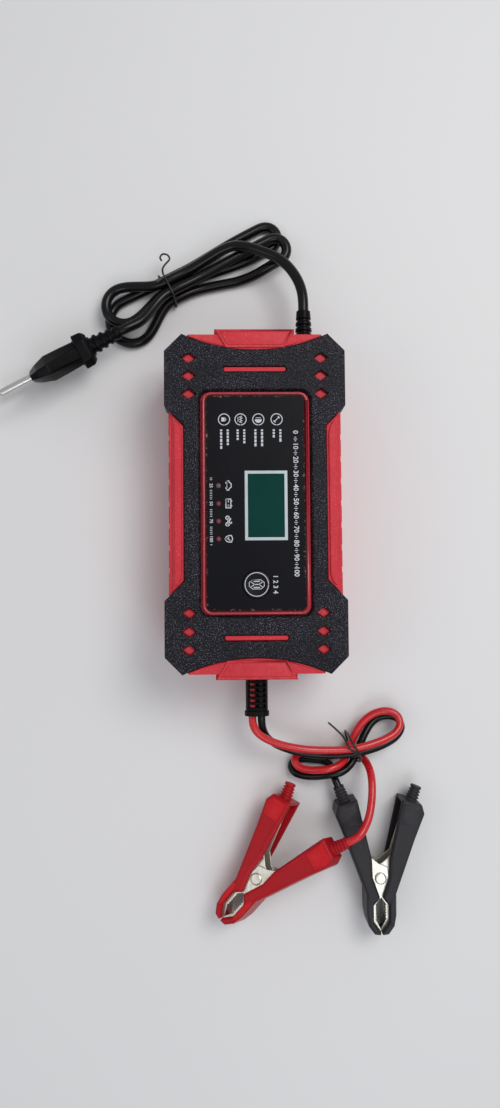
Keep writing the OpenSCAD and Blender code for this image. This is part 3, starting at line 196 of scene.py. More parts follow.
def smoothLine(points, count):
    # between two points the line is the cubic blend of the four nearest ones
    p = np.asarray(points, float)
    q = np.vstack([2 * p[0] - p[1], p, 2 * p[-1] - p[-2]])
    t = np.linspace(0, len(p) - 1, count + 1)
    i = np.minimum(t.astype(int), len(p) - 2)
    f = (t - i)[:, None]
    a, b, c, d = q[i], q[i + 1], q[i + 2], q[i + 3]
    square, cube = (2 * a - 5 * b + 4 * c - d) * f ** 2, (3 * b - a - 3 * c + d) * f ** 3
    return (2 * b + (c - a) * f + square + cube) / 2


def lineLength(line):
    return float(np.linalg.norm(np.diff(line, axis=0), axis=1).sum())


def evenLine(line, step):
    # the same line with its points one step apart along it
    along = np.concatenate([[0], np.cumsum(np.linalg.norm(np.diff(line, axis=0), axis=1))])
    s = np.linspace(0, along[-1], max(2, int(round(along[-1] / step))) + 1)
    return np.stack([np.interp(s, along, line[:, k]) for k in range(3)], axis=1)


def relaxed(line, passes):
    # each inner point moves to the mean of itself and its neighbours
    line = line.copy()
    for _ in range(passes):
        line[1:-1] = (line[:-2] + 2 * line[1:-1] + line[2:]) / 4
    return line


def gridPart(grid, capped=True):
    # grid[i, j] is the point at row i and column j; columns wrap round, rows run along
    rows, cols = grid.shape[:2]
    i, j = np.meshgrid(np.arange(rows - 1), np.arange(cols), indexing="ij")
    k = (j + 1) % cols
    faces = np.stack([i * cols + j, i * cols + k, (i + 1) * cols + k, (i + 1) * cols + j], axis=-1)
    faces = faces.reshape(-1, 4).tolist()
    if capped:
        faces += [list(range(cols))[::-1], [(rows - 1) * cols + c for c in range(cols)]]
    return grid.reshape(-1, 3), faces


def joined(name, parts, finish, slotName, *replaced, body="charger", sharp=40):
    # several parts as one piece: doubles merged, faces outwards, smooth but for edges over the sharp angle
    starts = np.concatenate([[0], np.cumsum([len(points) for points, _ in parts])])
    faces = [[v + int(start) for v in face] for (_, own), start in zip(parts, starts) for face in own]
    mesh = bpy.data.meshes.new(name)
    mesh.from_pydata((np.vstack([points for points, _ in parts]) * mm).tolist(), [], faces)
    bm = bmesh.new()
    bm.from_mesh(mesh)
    bmesh.ops.remove_doubles(bm, verts=bm.verts, dist=1e-7)
    bmesh.ops.recalc_face_normals(bm, faces=bm.faces)
    bm.to_mesh(mesh)
    bm.free()
    return ridden(placedMesh(name, mesh, finish, sharp), body, slotName, *replaced)


def placedMesh(name, mesh, finish, sharp):
    mesh.polygons.foreach_set("use_smooth", [True] * len(mesh.polygons))
    mesh.set_sharp_from_angle(angle=math.radians(sharp))
    mesh.materials.append(finishes[finish])
    obj = bpy.data.objects.new(name, mesh)
    scene.collection.objects.link(obj)
    return obj


def ridden(obj, body, slotName, *replaced):
    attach(obj, body)
    if replaced:
        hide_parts(*replaced)
    return obj


def mitres(path, closed):
    # at each point of a plan path, the step to its left that moves both its sides by 1
    ahead = np.roll(path, -1, axis=0) - path
    if not closed:
        ahead[-1] = ahead[-2]
    ahead /= np.linalg.norm(ahead, axis=1, keepdims=True)
    behind = np.roll(ahead, 1, axis=0)
    if not closed:
        behind[0] = ahead[0]
    both = np.stack([-(ahead + behind)[:, 1], (ahead + behind)[:, 0]], axis=1)
    return both * 2 / (both * both).sum(axis=1, keepdims=True)


def atHeight(plan, z):
    return np.column_stack([plan, np.full(len(plan), float(z))])


def stripPart(path, width, z0, z1, closed=False):
    # a flat strip along a plan path: the four corners of its section at each point
    p = np.asarray(path, float)
    m = mitres(p, closed) * width / 2
    grid = np.stack([atHeight(p + m, z0), atHeight(p + m, z1), atHeight(p - m, z1), atHeight(p - m, z0)],
        axis=1)
    return gridPart(np.vstack([grid, grid[:1]])) if closed else gridPart(grid)


def platePart(outline, z0, z1, edge=0):
    # a plate over an anticlockwise outline, its upper edge rounded in two steps
    p = np.asarray(outline, float)
    m = mitres(p, True)
    rows = [(0, z0), (0, z1)]
    if edge:
        rows[1:] = [(0, z1 - edge), (0.3 * edge, z1 - 0.3 * edge), (edge, z1)]
    return gridPart(np.stack([atHeight(p + m * d, z) for d, z in rows]))


def turnedPart(profile, at, sides):
    # profile rows (radius, height) turned round an upright axis
    r, z = np.asarray(profile, float).T
    a = 2 * np.pi * np.arange(sides) / sides
    grid = np.stack([at[0] + r[:, None] * np.cos(a), at[1] + r[:, None] * np.sin(a), z[:, None] + 0 * a],
        axis=2)
    return gridPart(grid, capped=False)


def ringPath(radius, start=0, end=360, count=32, centre=(0, 0)):
    a = np.radians(np.linspace(start, end, count + 1))[:count if end - start == 360 else None]
    return np.stack([centre[0] + radius * np.cos(a), centre[1] + radius * np.sin(a)], axis=1)


def sweepGrid(line, radius, sides, first=None, last=None):
    # a circle of the given radius round each point of the line, square to its heading
    heading = np.gradient(line, axis=0)
    if first is not None:
        heading[0] = first
    if last is not None:
        heading[-1] = last
    heading /= np.linalg.norm(heading, axis=1, keepdims=True)
    side = np.cross(heading, (0, 0, 1))
    side /= np.linalg.norm(side, axis=1, keepdims=True)
    lift = np.cross(side, heading)
    a = 2 * np.pi * np.arange(sides) / sides
    r = np.broadcast_to(np.asarray(radius, float), (len(line),))[:, None, None]
    sideways, upwards = np.cos(a)[None, :, None] * side[:, None], np.sin(a)[None, :, None] * lift[:, None]
    return line[:, None] + r * (sideways + upwards)


# Node groups for the finishes: their inputs are filled by label from a finish's look

grey = (0.5, 0.5, 0.5, 1)
fullTurn = 6.2832


def newGroup(name, inputs, outputs):
    # a tuple of four starts a color socket, one of three a vector socket
    group = bpy.data.node_groups.new(name, "ShaderNodeTree")
    for label, value in inputs.items():
        kind = {4: "Color", 3: "Vector"}[len(value)] if isinstance(value, tuple) else "Float"
        socket = group.interface.new_socket(name=label, in_out="INPUT", socket_type="NodeSocket" + kind)
        socket.default_value = value
    for label in outputs:
        kind = "Color" if label == "Color" else "Float"
        group.interface.new_socket(name=label, in_out="OUTPUT", socket_type="NodeSocket" + kind)
    return group, group.nodes.new("NodeGroupInput").outputs, group.nodes.new("NodeGroupOutput").inputs


def placed(tree, group, look=None, **values):
    # each input takes its value from values, else from the look, else it keeps its start value
    node = tree.nodes.new("ShaderNodeGroup")
    node.node_tree = group
    values = {**(look or {}), **values}
    for socket in node.inputs:
        if socket.name in values:
            feed(socket, values[socket.name])
    return node.outputs


def buildGrain():
    # moulded skin: fine pits, and small pale flecks painted into the colour as glints of the textured skin
    tree, start, end = newGroup("mouldedGrain",
        dict(base=grey, fleck=grey, fleckScale=1400, fleckAmount=0.3, pitScale=2200, roughness=0.5,
            swing=0.08, shade=0.08), ("Color", "Roughness", "Height"))
    flecks = noise(tree, start["fleckScale"], 1.5, distortion=0.6)
    pits = noise(tree, start["pitScale"], 3, 0.6)
    clouds = noise(tree, 55, 4)
    threshold = minus(0.7, times(start["fleckAmount"], 0.2))
    spot = times(minus(flecks, threshold), 11, clamp=True)
    # painted glints: the flecks, brighter in soft patches; they also lift the bump a little
    paintedLight = times(spot, spread(clouds, (0.35, 0.6), (0.45, 1)))
    shade = times(spread(clouds, (0.3, 0.7), (-1, 1)), start["shade"])
    toned = addNode(tree, "VectorMath", {0: start["base"], "Scale": plus(shade, 1)},
        operation="SCALE")
    feed(end["Color"], blendColors(paintedLight, toned.outputs[0], start["fleck"]))
    mixed = plus(times(pits, 0.6), times(clouds, 0.4))
    swing = times(spread(mixed, (0.35, 0.65), (-1, 1)), start["swing"])
    feed(end["Roughness"], plus(start["roughness"], swing, clamp=True))
    feed(end["Height"], plus(pits, times(paintedLight, 0.5)))
    return tree


def buildMetalGrain():
    # drawn or stamped metal: long streaks, and tarnish in patches and hollows
    tree, start, end = newGroup("metalGrain",
        dict(base=grey, tarnish=(0.25, 0.19, 0.1, 1), tarnishAmount=0.2, roughness=0.25, swing=0.07),
        ("Color", "Roughness", "Height"))
    stretched = addNode(tree, "Mapping", {"Vector": objectPoint(tree), "Scale": (1, 0.08, 1)})
    streaks = noise(tree, 900, 3, point=stretched.outputs["Vector"])
    patches = noise(tree, 120, 5, 0.6)
    hollow = spread(pointiness(tree), (0.5, 0.42), (0, 0.6))
    stain = plus(spread(patches, (0.45, 0.75), (0, 1)), hollow)
    mask = times(stain, start["tarnishAmount"], clamp=True)
    feed(end["Color"], blendColors(mask, start["base"], start["tarnish"]))
    swing = times(spread(plus(streaks, patches), (0.7, 1.3), (-1, 1)), start["swing"])
    feed(end["Roughness"], plus(start["roughness"], swing, clamp=True))
    feed(end["Height"], streaks)
    return tree


def buildWinding():
    # turns of wire or tape round a part, as bands across one direction
    tree, start, end = newGroup("windingBands", dict(wire=grey, gap=grey, pitch=500, direction=(0, 0, 1)),
        ("Color", "Height"))
    along = addNode(tree, "VectorMath", {0: objectPoint(tree), 1: start["direction"]},
        operation="DOT_PRODUCT")
    angle = times(along.outputs["Value"], times(start["pitch"], fullTurn))
    height = spread(calc("SINE", angle), (-1, 0.6), (0, 1))
    feed(end["Color"], blendColors(height, start["gap"], start["wire"]))
    feed(end["Height"], height)
    return tree


def wornMask(tree, start):
    # rubbed edges, broken up by noise
    edge = spread(pointiness(tree), (0.52, 0.62), (0, 1))
    broken = spread(noise(tree, 260, 5, 0.7), (0.42, 0.62), (0.15, 1))
    return times(times(edge, broken), start["amount"], clamp=True)


def dustMask(tree, start):
    # what faces up, thicker in soft patches
    normal = addNode(tree, "NewGeometry").outputs["Normal"]
    up = spread(addNode(tree, "SeparateXYZ", {0: normal}).outputs["Z"], (0.2, 0.9), (0, 1))
    soft = spread(noise(tree, 38, 6, 0.65), (0.4, 0.7), (0.3, 1))
    dots = spread(noise(tree, 1500), (0.5, 0.7), (0.4, 1.6))
    return times(times(up, soft), times(dots, start["amount"]), clamp=True)


def scuffMask(tree, start):
    # near the border of a flat piece, and only where the noise is high
    point = addNode(tree, "SeparateXYZ", {0: objectPoint(tree)}).outputs
    across = minus(start["halfWidth"], calc("ABSOLUTE", point["X"]))
    along = minus(start["halfLength"], calc("ABSOLUTE", point["Y"]))
    inward = calc("DIVIDE", calc("MINIMUM", across, along), start["reach"])
    near = minus(1, inward, clamp=True)
    uneven = plus(noise(tree, 420, 6, 0.7, 0.8), times(near, 0.16))
    broken = spread(uneven, (0.66, 0.74), (0, 1))
    return times(broken, spread(near, (0, 0.25), (0, 0.8)), clamp=True)


def tintGroup(name, maskOf, **inputs):
    # a color that turns to the tint where the mask is high
    tree, start, end = newGroup(name, dict(color=grey, tint=grey, **inputs), ("Color",))
    feed(end["Color"], blendColors(maskOf(tree, start), start["color"], start["tint"]))
    return tree


grain, metalGrain, winding = buildGrain(), buildMetalGrain(), buildWinding()
edgeWear = tintGroup("edgeWear", wornMask, amount=0.4)
dustFilm = tintGroup("dustFilm", dustMask, amount=0.05)
scuffedBorder = tintGroup("scuffedBorder", scuffMask, halfWidth=0.02, halfLength=0.05, reach=0.0015)
dustTint = (0.42, 0.43, 0.46)


def finishSkin(tree, shader, color, roughness, height, strength, depth=0.0002):
    feed(shader["Base Color"], color)
    feed(shader["Roughness"], roughness)
    bump = addNode(tree, "Bump", dict(Strength=strength, Distance=depth, Height=height))
    feed(shader["Normal"], bump.outputs["Normal"])


def mouldedFinish(name, look):
    # moulded plastic or rubber: grain, rubbed edges and a little dust
    mat, tree, shader = startFinish(name, look)
    skin = placed(tree, grain, look, base=look["color"])
    tint = look.get("worn", look["fleck"])
    color = placed(tree, edgeWear, color=skin["Color"], tint=tint, amount=look.get("wear", 0.3))["Color"]
    color = placed(tree, dustFilm, color=color, tint=dustTint, amount=look.get("dust", 0.03))["Color"]
    if "border" in look:
        width, length, reach = (value * mm for value in look["border"])
        color = placed(tree, scuffedBorder, color=color, tint=look["scuff"], halfWidth=width / 2,
                       halfLength=length / 2, reach=reach)["Color"]
    finishSkin(tree, shader, color, skin["Roughness"], skin["Height"], look.get("bump", 0.25))
    return mat


def metalFinish(name, look):
    mat, tree, shader = startFinish(name, look)
    skin = placed(tree, metalGrain, look, base=look["color"])
    finishSkin(tree, shader, skin["Color"], skin["Roughness"], skin["Height"], 0.12)
    return mat


def woundFinish(name, look):
    mat, tree, shader = startFinish(name, look)
    bands = placed(tree, winding, look, wire=look["color"])
    skin = placed(tree, grain, look, base=bands["Color"], fleck=look["color"], fleckAmount=0.1, swing=0.1,
        shade=0.12)
    finishSkin(tree, shader, skin["Color"], skin["Roughness"], bands["Height"], 0.5, 0.0003)
    return mat


def boardFinish(name, look):
    # solder mask over tracks: a brick pattern's joints show as paler copper lines
    mat, tree, shader = startFinish(name, look)
    darker = tuple(c * 0.8 for c in look["color"])
    bricks = {"Vector": objectPoint(tree), "Scale": 60, "Mortar Size": 0.03, "Row Height": 0.31,
              "Brick Width": 0.83, "Color1": look["color"], "Color2": darker, "Mortar": look["track"]}
    tracks = addNode(tree, "TexBrick", bricks, offset=0.37, squash=0.6).outputs
    skin = placed(tree, grain, look, base=tracks["Color"], fleck=look["track"], fleckScale=420,
        fleckAmount=0.12, swing=0.1, shade=0.1)
    finishSkin(tree, shader, skin["Color"], skin["Roughness"], tracks["Fac"], 0.2)
    return mat


shellSkin = dict(pitScale=3000, wear=0.35)
gripSkin = dict(fleckScale=1100, fleckAmount=0.2, pitScale=1500, swing=0.07)
cableSkin = dict(fleckScale=700, fleckAmount=0.15, pitScale=1300, wear=0, bump=0.06)
lensSkin = dict(roughness=0.35, wear=0, dust=0.01, bump=0.03, specular=0.25)

# a look's fleck is the colour of the painted glint flecks in its grain
mouldedLooks = dict(
    coverBlack=dict(shellSkin, color=(0.0052, 0.0046, 0.0072), fleck=(0.17, 0.165, 0.225),
        fleckScale=2100, fleckAmount=0.57, roughness=0.5, swing=0.1, shade=0.14,
        worn=(0.1, 0.1, 0.115), dust=0.009, bump=0.5, specular=0.15),
    shellRed=dict(shellSkin, color=(0.58, 0.026, 0.041), fleck=(0.8, 0.12, 0.14), fleckScale=2300,
        fleckAmount=0.5, roughness=0.44, shade=0.06, worn=(0.78, 0.13, 0.13), dust=0.01, bump=0.4,
        specular=0.22),
    # rimRed: a darker copy of the shell red, painted shade for the sides of the rim's bead
    rimRed=dict(color=(0.33, 0.012, 0.021), fleck=(0.55, 0.07, 0.08), fleckScale=1500, roughness=0.24,
        swing=0.06, worn=(0.72, 0.16, 0.16), dust=0.006, bump=0.1, specular=0.6, coat=0.25,
        coatRoughness=0.12),
    gripRed=dict(gripSkin, color=(0.4, 0.006, 0.012), fleck=(0.48, 0.016, 0.025), roughness=0.38,
        shade=0.09, worn=(0.58, 0.04, 0.05), dust=0.006, bump=0.15, specular=0.2),
    # gripScarlet: a lighter copy of gripRed, painted light on the red clamp's root blocks and nose pads
    gripScarlet=dict(gripSkin, color=(0.58, 0.008, 0.015), fleck=(0.66, 0.02, 0.03), roughness=0.34,
        shade=0.07, wear=0.25, worn=(0.7, 0.06, 0.07), dust=0.005, bump=0.12, specular=0.2),
    gripBlack=dict(gripSkin, color=(0.025, 0.024, 0.028), fleck=(0.055, 0.054, 0.06), roughness=0.46,
        shade=0.12, wear=0.35, worn=(0.08, 0.08, 0.09), dust=0.01, bump=0.15, specular=0.22),
    panelBlack=dict(color=(0.0045, 0.0046, 0.0068), fleck=(0.01, 0.01, 0.014), fleckScale=2400,
        fleckAmount=0.2, pitScale=3200, roughness=0.38, swing=0.05, shade=0.06, wear=0.1, dust=0.003,
        bump=0.08, specular=0.1, border=(48.6, 105, 2), scuff=(0.3, 0.17, 0.18)),
    keyBlack=dict(color=(0.0055, 0.0055, 0.008), fleck=(0.012, 0.012, 0.015), roughness=0.36, wear=0.1,
        dust=0.006, bump=0.06, specular=0.15),
    printPale=dict(color=(0.56, 0.57, 0.62), fleck=(0.4, 0.4, 0.44), fleckScale=2600, fleckAmount=0.2,
        roughness=0.5, wear=0, dust=0, bump=0.05),
    framePale=dict(color=(0.47, 0.54, 0.58), fleck=(0.62, 0.68, 0.72), roughness=0.3, swing=0.05, wear=0.2,
        worn=(0.7, 0.75, 0.78), bump=0.06, coat=0.2),
    screenGreen=dict(color=(0.0016, 0.042, 0.033), fleck=(0.003, 0.052, 0.041), fleckScale=900,
        fleckAmount=0.15, roughness=0.16, swing=0.03, wear=0, dust=0.001, bump=0.02, specular=0.14),
    lensRose=dict(lensSkin, color=(0.16, 0.046, 0.062), fleck=(0.23, 0.09, 0.11)),
    lensGrey=dict(lensSkin, color=(0.14, 0.105, 0.11), fleck=(0.2, 0.16, 0.17)),
    darkPlastic=dict(color=(0.002, 0.002, 0.0026), fleck=(0.009, 0.009, 0.011), roughness=0.34,
        worn=(0.035, 0.035, 0.04), dust=0.002, bump=0.12, specular=0.11),
    footRubber=dict(color=(0.022, 0.022, 0.023), fleck=(0.04, 0.04, 0.04), roughness=0.72, wear=0.2,
        dust=0.08, bump=0.3),
    blackCable=dict(cableSkin, color=(0.0036, 0.0036, 0.004), fleck=(0.011, 0.011, 0.012), roughness=0.21,
        swing=0.05, dust=0.002, specular=0.27),
    redCable=dict(cableSkin, color=(0.56, 0.008, 0.014), fleck=(0.64, 0.02, 0.03), roughness=0.28,
        swing=0.06, dust=0.008, coat=0.2, coatRoughness=0.15),
    tieWire=dict(color=(0.01, 0.01, 0.011), fleck=(0.03, 0.03, 0.03), roughness=0.35, bump=0.05),
    ivoryPlastic=dict(color=(0.62, 0.6, 0.52), fleck=(0.7, 0.68, 0.6), roughness=0.45, wear=0.1,
        bump=0.08),
    capSleeve=dict(color=(0.016, 0.022, 0.05), fleck=(0.03, 0.04, 0.08), roughness=0.28, wear=0.15,
        bump=0.04),
    fuseTan=dict(color=(0.24, 0.17, 0.08), fleck=(0.34, 0.25, 0.12), roughness=0.5, wear=0.1, bump=0.2),
)
woundLooks = dict(
    ferriteGrey=dict(color=(0.62, 0.45, 0.08), gap=(0.36, 0.26, 0.05), pitch=160, roughness=0.45),
    copperWound=dict(color=(0.55, 0.2, 0.07), gap=(0.06, 0.025, 0.012), pitch=700,
        direction=(0.7, 0.1, 0.7), roughness=0.32, metallic=0.6),
)
boardLooks = dict(boardGreen=dict(color=(0.012, 0.11, 0.038), track=(0.05, 0.22, 0.08), roughness=0.36))
metalLooks = dict(
    nickelPlate=dict(color=(0.8, 0.775, 0.7), tarnish=(0.42, 0.34, 0.17), tarnishAmount=0.34,
        roughness=0.38, metallic=0.88),
    pinNickel=dict(color=(0.66, 0.65, 0.62), roughness=0.34, tarnishAmount=0.1, metallic=1),
    springSteel=dict(color=(0.045, 0.043, 0.04), tarnish=(0.02, 0.016, 0.012), tarnishAmount=0.3,
        roughness=0.34, metallic=0.8),
    screwSteel=dict(color=(0.52, 0.52, 0.5), roughness=0.34, metallic=1),
    finAluminium=dict(color=(0.62, 0.63, 0.64), roughness=0.42, tarnishAmount=0.08, metallic=1),
)
finishKinds = ((mouldedFinish, mouldedLooks), (woundFinish, woundLooks), (boardFinish, boardLooks),
    (metalFinish, metalLooks))
finishes = {name: make(name, look) for make, looks in finishKinds for name, look in looks.items()}

# The mains lead's hank, in its own frame: u along it, v across it, z up. Each of the five runs has its ends
# in u, its v at the waist and at both ends, and its heights: where it starts, what it gains, on which side
# of u, beyond what distance and over what length. A turn (reach, height) joins a run to the next one.
mainsCord = dict(diameter=5.4, exit=(26.3, 102.3, 24), hankPlace=(-42.5, 122), hankAngle=27.9,
    runs=((30, -28), (-28, 58), (58, -28), (-28, 58), (58, -37)), waist=(2.975, 0, 5.95, -5.95, -2.975),
    waistHalf=4, left=(12, -7.6, 7, -17.4, -12), leftBlend=24,
    right=(3.5, -5, 8, -15, -2), rightBlend=44,
    heights=((8.7, 5.5, 1, 4, 40), (2.75, 5.95, -1, 6, 20), (2.75, 0, 1, 0, 1), (2.75, 5.95, 1, 30, 25),
        (8.7, 8.73, -1, 2, 34)),
    turns=((10, 8.7), (6.5, 2.75), (12, 2.75), (6.5, 8.7)), turnSteps=18,
    tieAt=-3, tieLift=1.3, tieHalf=1, tieBlend=20,
    free=[(26.3, 102.35, 24), (26.3, 108, 23.9), (25.6, 114, 23.3), (23.2, 121, 22), (18.5, 128.5, 20),
        (12.5, 134, 18), (5.5, 137.6, 16.2), (-2, 140.7, 14.6), (-9.8, 141.7, 13.5)], runStep=2,
    count=60, step=1.6, passes=2, sides=18)


def ease(x):
    t = np.clip(x, 0, 1)
    return t * t * (3 - 2 * t)


def hankRun(k):
    # v is eased from the waist to the ends, and the run lifts over the tie
    m = mainsCord
    start, end = m["runs"][k]
    u = np.linspace(start, end, int(abs(end - start) / m["runStep"]) + 1)
    waist, half = m["waist"][k], m["waistHalf"]
    toLeft = waist + (m["left"][k] - waist) * ease((-u - half) / m["leftBlend"])
    toRight = waist + (m["right"][k] - waist) * ease((u - half) / m["rightBlend"])
    low, gain, side, beyond, over = m["heights"][k]
    lift = m["tieLift"] * (1 - ease((np.abs(u - m["tieAt"]) - m["tieHalf"]) / m["tieBlend"]))
    z = low + gain * ease((side * u - beyond) / over) + lift
    return np.stack([u, np.where(u < -half, toLeft, toRight), z], axis=1)


def hankTurn(k):
    # half an ellipse from the end of run k to the next one's
    m = mainsCord
    u, (reach, z) = m["runs"][k][1], m["turns"][k]
    v0, v1 = m["right" if u > 0 else "left"][k:k + 2]
    a = np.pi * np.arange(1, m["turnSteps"]) / m["turnSteps"]
    v = (v0 + v1) / 2 + (v0 - v1) / 2 * np.cos(a)
    return np.stack([u + math.copysign(reach, u) * np.sin(a), v, z + 0 * a], axis=1)


def fromHank(points):
    (x, y), a = mainsCord["hankPlace"], math.radians(mainsCord["hankAngle"])
    u, v, z = np.asarray(points, float).T
    c, s = math.cos(a), math.sin(a)
    return np.stack([x + u * c - v * s, y + u * s + v * c, z], axis=1)


def mainsLine():
    m = mainsCord
    parts = [hankRun(0)]
    for k in range(len(m["turns"])):
        parts += [hankTurn(k), hankRun(k + 1)]
    hank = fromHank(np.vstack(parts))
    free = smoothLine(m["free"] + [tuple(hank[0])], m["count"])
    return relaxed(evenLine(np.vstack([free[:-1], hank]), m["step"]), m["passes"])


mainsPath = mainsLine()
mainsGrid = sweepGrid(mainsPath, mainsCord["diameter"] / 2, mainsCord["sides"], first=(0, 1, 0))
mainsObj = joined("mainsCord", [gridPart(mainsGrid)], "blackCable", "black_cable", "mains_cord",
    "mains_hank", "mains_cord_end")
print("mains cord:", round(lineLength(mainsPath), 1), "mm")

leadSteps = dict(count=460, step=1.1, sides=16, leaves=(0, -1, 0))
redLead = dict(diameter=4, exit=(-1.8, -105.3, 24), arrive=(-0.847, -0.457, -0.27),
    route=[(-1.8, -84.4, 24), (-1.8, -92, 24), (-1.8, -99, 24), (-1.8, -106, 24), (-1.2, -110.6, 24.2),
        (1.4, -114.6, 23.6), (6, -117.8, 22.2), (12, -120.4, 20.6), (19, -122.4, 19), (27, -123.8, 17.6),
        (36, -124.4, 16.8), (44, -124.4, 16.4), (52, -123.6, 16.2), (60, -121.8, 15.4), (67, -119.6, 14),
        (72.8, -116.6, 12.4), (75.6, -112.4, 11), (74.4, -108, 9.8), (70, -105.8, 9), (64.4, -106.4, 8.4),
        (59.2, -109.2, 7.8), (55, -113.6, 7.4), (52, -118.8, 7.2), (49.6, -124.2, 7.5), (47.4, -129.2, 8.4),
        (44.2, -132.4, 11.6), (38.6, -134.4, 13.8), (32, -135.2, 12.8), (27.2, -135.4, 10.4),
        (23, -134.4, 8.8), (20.6, -131.2, 7.2), (22.4, -128.2, 5.6), (27.4, -127.2, 4), (35, -127.6, 2.8),
        (43, -128.2, 2.8), (50, -128.2, 3.2), (54, -129, 3.9), (57.4, -131.4, 7.6), (59, -135, 12.8),
        (59.4, -139.6, 17), (59, -145.6, 19.8), (58, -151.8, 21.8), (56, -158, 24.2), (52, -163.8, 27.6),
        (48.4, -166.4, 28.1), (45, -168.2, 27.2)])
blackLead = dict(diameter=4, exit=(2.8, -105.3, 24), arrive=(0.3746, -0.9272, 0),
    route=[(2.8, -84.4, 24), (2.8, -92, 24), (2.8, -99, 24), (2.8, -105.4, 24), (3, -109.6, 22.6),
        (3.8, -113.4, 19.6), (6, -117.6, 16.8), (10.6, -121.4, 15), (17.6, -124.4, 13.8),
        (26, -126.6, 12.8), (35, -127.6, 12.2), (44, -127.6, 12.5), (52.6, -126.8, 12.4),
        (60.6, -125.2, 11), (67.8, -122.8, 9.6), (73.8, -119.4, 8.2), (77, -114.8, 6.8),
        (75.6, -110.4, 5.4), (70.6, -108.8, 4.6), (65.2, -110, 4.4), (61.2, -113, 5), (58, -117.6, 6.2),
        (55.4, -122.6, 7.2), (52.8, -128, 7.8), (50, -133, 8.8), (44.8, -136.6, 11.2), (38.2, -138, 11.2),
        (31.6, -139.2, 8.8), (25.6, -139.4, 6), (20.8, -138, 4.2), (19.2, -134.8, 2.8), (21.2, -132, 2.1),
        (26, -131.4, 2.1), (31, -131.8, 2.1), (35.4, -132.4, 2.1), (39, -134, 2.8), (40.8, -137.2, 4.4),
        (41.7, -141, 7.2), (43.1, -144.6, 8.6)])


def makeLead(name, lead, finish, slotName, node):
    s = leadSteps
    line = evenLine(smoothLine(lead["route"], s["count"]), s["step"])
    grid = sweepGrid(line, lead["diameter"] / 2, s["sides"], first=s["leaves"], last=lead["arrive"])
    print(name + ":", round(lineLength(line), 1), "mm")
    return joined(name, [gridPart(grid)], finish, slotName, node), line


redObj, redPath = makeLead("redLead", redLead, "redCable", "red_cable", "red_lead")
blackObj, blackPath = makeLead("blackLead", blackLead, "blackCable", "black_cable", "black_lead")


# The frame's solids with rounded edges. A rounding takes at most its share of a short neighbour and of a
# narrow wall; the angles are in degrees, merge in m.
rounding = dict(merge=2e-6, fold=179, tries=10, widest=3.1, slope=0.001, flat=0.6, sharp=32, least=0.04,
    wallShare=0.44, wallReach=2.5, leastGap=1e-6)


def narrowGaps(face, width):
    # where a corner faces an edge across a narrow wall: the gap, and the edges on both its sides
    loops = list(face.loops)
    corners = np.array([loop.vert.co for loop in loops], dtype=float)
    heading = np.roll(corners, -1, axis=0) - corners
    length = np.linalg.norm(heading, axis=1)
    heading /= length[:, None]
    offset = corners[None, :, :] - corners[:, None, :]
    gap = np.einsum("ijk,ik->ij", offset, np.cross(np.array(face.normal), heading))
    along = np.einsum("ijk,ik->ij", offset, heading)
    near = (gap > rounding["leastGap"]) & (gap < rounding["wallReach"] * width)
    near &= (along > 0) & (along < length[:, None])
    for row, column in zip(*np.nonzero(near)):
        yield gap[row, column], (loops[row].edge, loops[column].edge, loops[column - 1].edge)


def sharpEdges(bm, angle):
    return [edge for edge in bm.edges if len(edge.link_faces) == 2 and edge.calc_face_angle(0.0) > angle]


def limitRounding(bm, width, angle, share, thin):
    # each sharp edge's part of the full width, so that neighbouring roundings don't fold over each other
    weight = bm.edges.layers.float.new("bevel_weight_edge")
    reach = dict.fromkeys(sharpEdges(bm, angle), width)
    for face in bm.faces:
        loops = list(face.loops)
        for loop, before in zip(loops, loops[-1:] + loops[:-1]):
            corner = loop.calc_angle()
            for edge, other in ((before.edge, loop.edge), (loop.edge, before.edge)):
                if edge not in reach or (other in reach and not loop.is_convex):
                    continue
                slope = (math.tan(min(corner, rounding["widest"]) / 2) if other in reach
                         else max(math.sin(corner), rounding["slope"]))
                reach[edge] = min(reach[edge], share * other.calc_length() * slope)
        if thin and len(loops) > 3:
            for gap, edges in narrowGaps(face, width):
                for edge in reach.keys() & edges:
                    reach[edge] = min(reach[edge], rounding["wallShare"] * gap)
    for edge, most in reach.items():
        edge[weight] = max(rounding["least"], most / width)


def mergeFolds(bm):
    # a hollow flat face can come as triangles folded back over each other; joined, they are its outline
    for _ in range(rounding["tries"]):
        bm.normal_update()
        folds = sharpEdges(bm, math.radians(rounding["fold"]))
        if not folds:
            return
        bmesh.ops.dissolve_edges(bm, edges=folds, use_verts=False)


def softened(name, solid, finish, slotName, edge, segments=2, body="charger", angle=32, share=0.4,
             split=False, thin=False):
    # the solid's faces merged and flattened, its sharp edges rounded to the given radius
    mesh = nodes[solid].data.copy()
    mesh.materials.clear()
    bm = bmesh.new()
    bm.from_mesh(mesh)
    bmesh.ops.remove_doubles(bm, verts=bm.verts, dist=rounding["merge"])
    mergeFolds(bm)
    bmesh.ops.dissolve_limit(bm, angle_limit=math.radians(rounding["flat"]), verts=bm.verts, edges=bm.edges)
    if split:
        bmesh.ops.triangulate(bm, faces=[face for face in bm.faces if len(face.verts) > 4])
    limitRounding(bm, edge * mm, math.radians(angle), share, thin)
    bm.to_mesh(mesh)
    bm.free()
    obj = placedMesh(name, mesh, finish, rounding["sharp"])
    bevel = obj.modifiers.new("roundedEdges", "BEVEL")
    bevel.width, bevel.segments, bevel.limit_method = edge * mm, segments, "WEIGHT"
    bevel.use_clamp_overlap = bevel.loop_slide = False
    weighted = obj.modifiers.new("flatFaces", "WEIGHTED_NORMAL")
    weighted.mode, weighted.weight, weighted.keep_sharp = "FACE_AREA", 100, True
    return ridden(obj, body, slotName, solid)


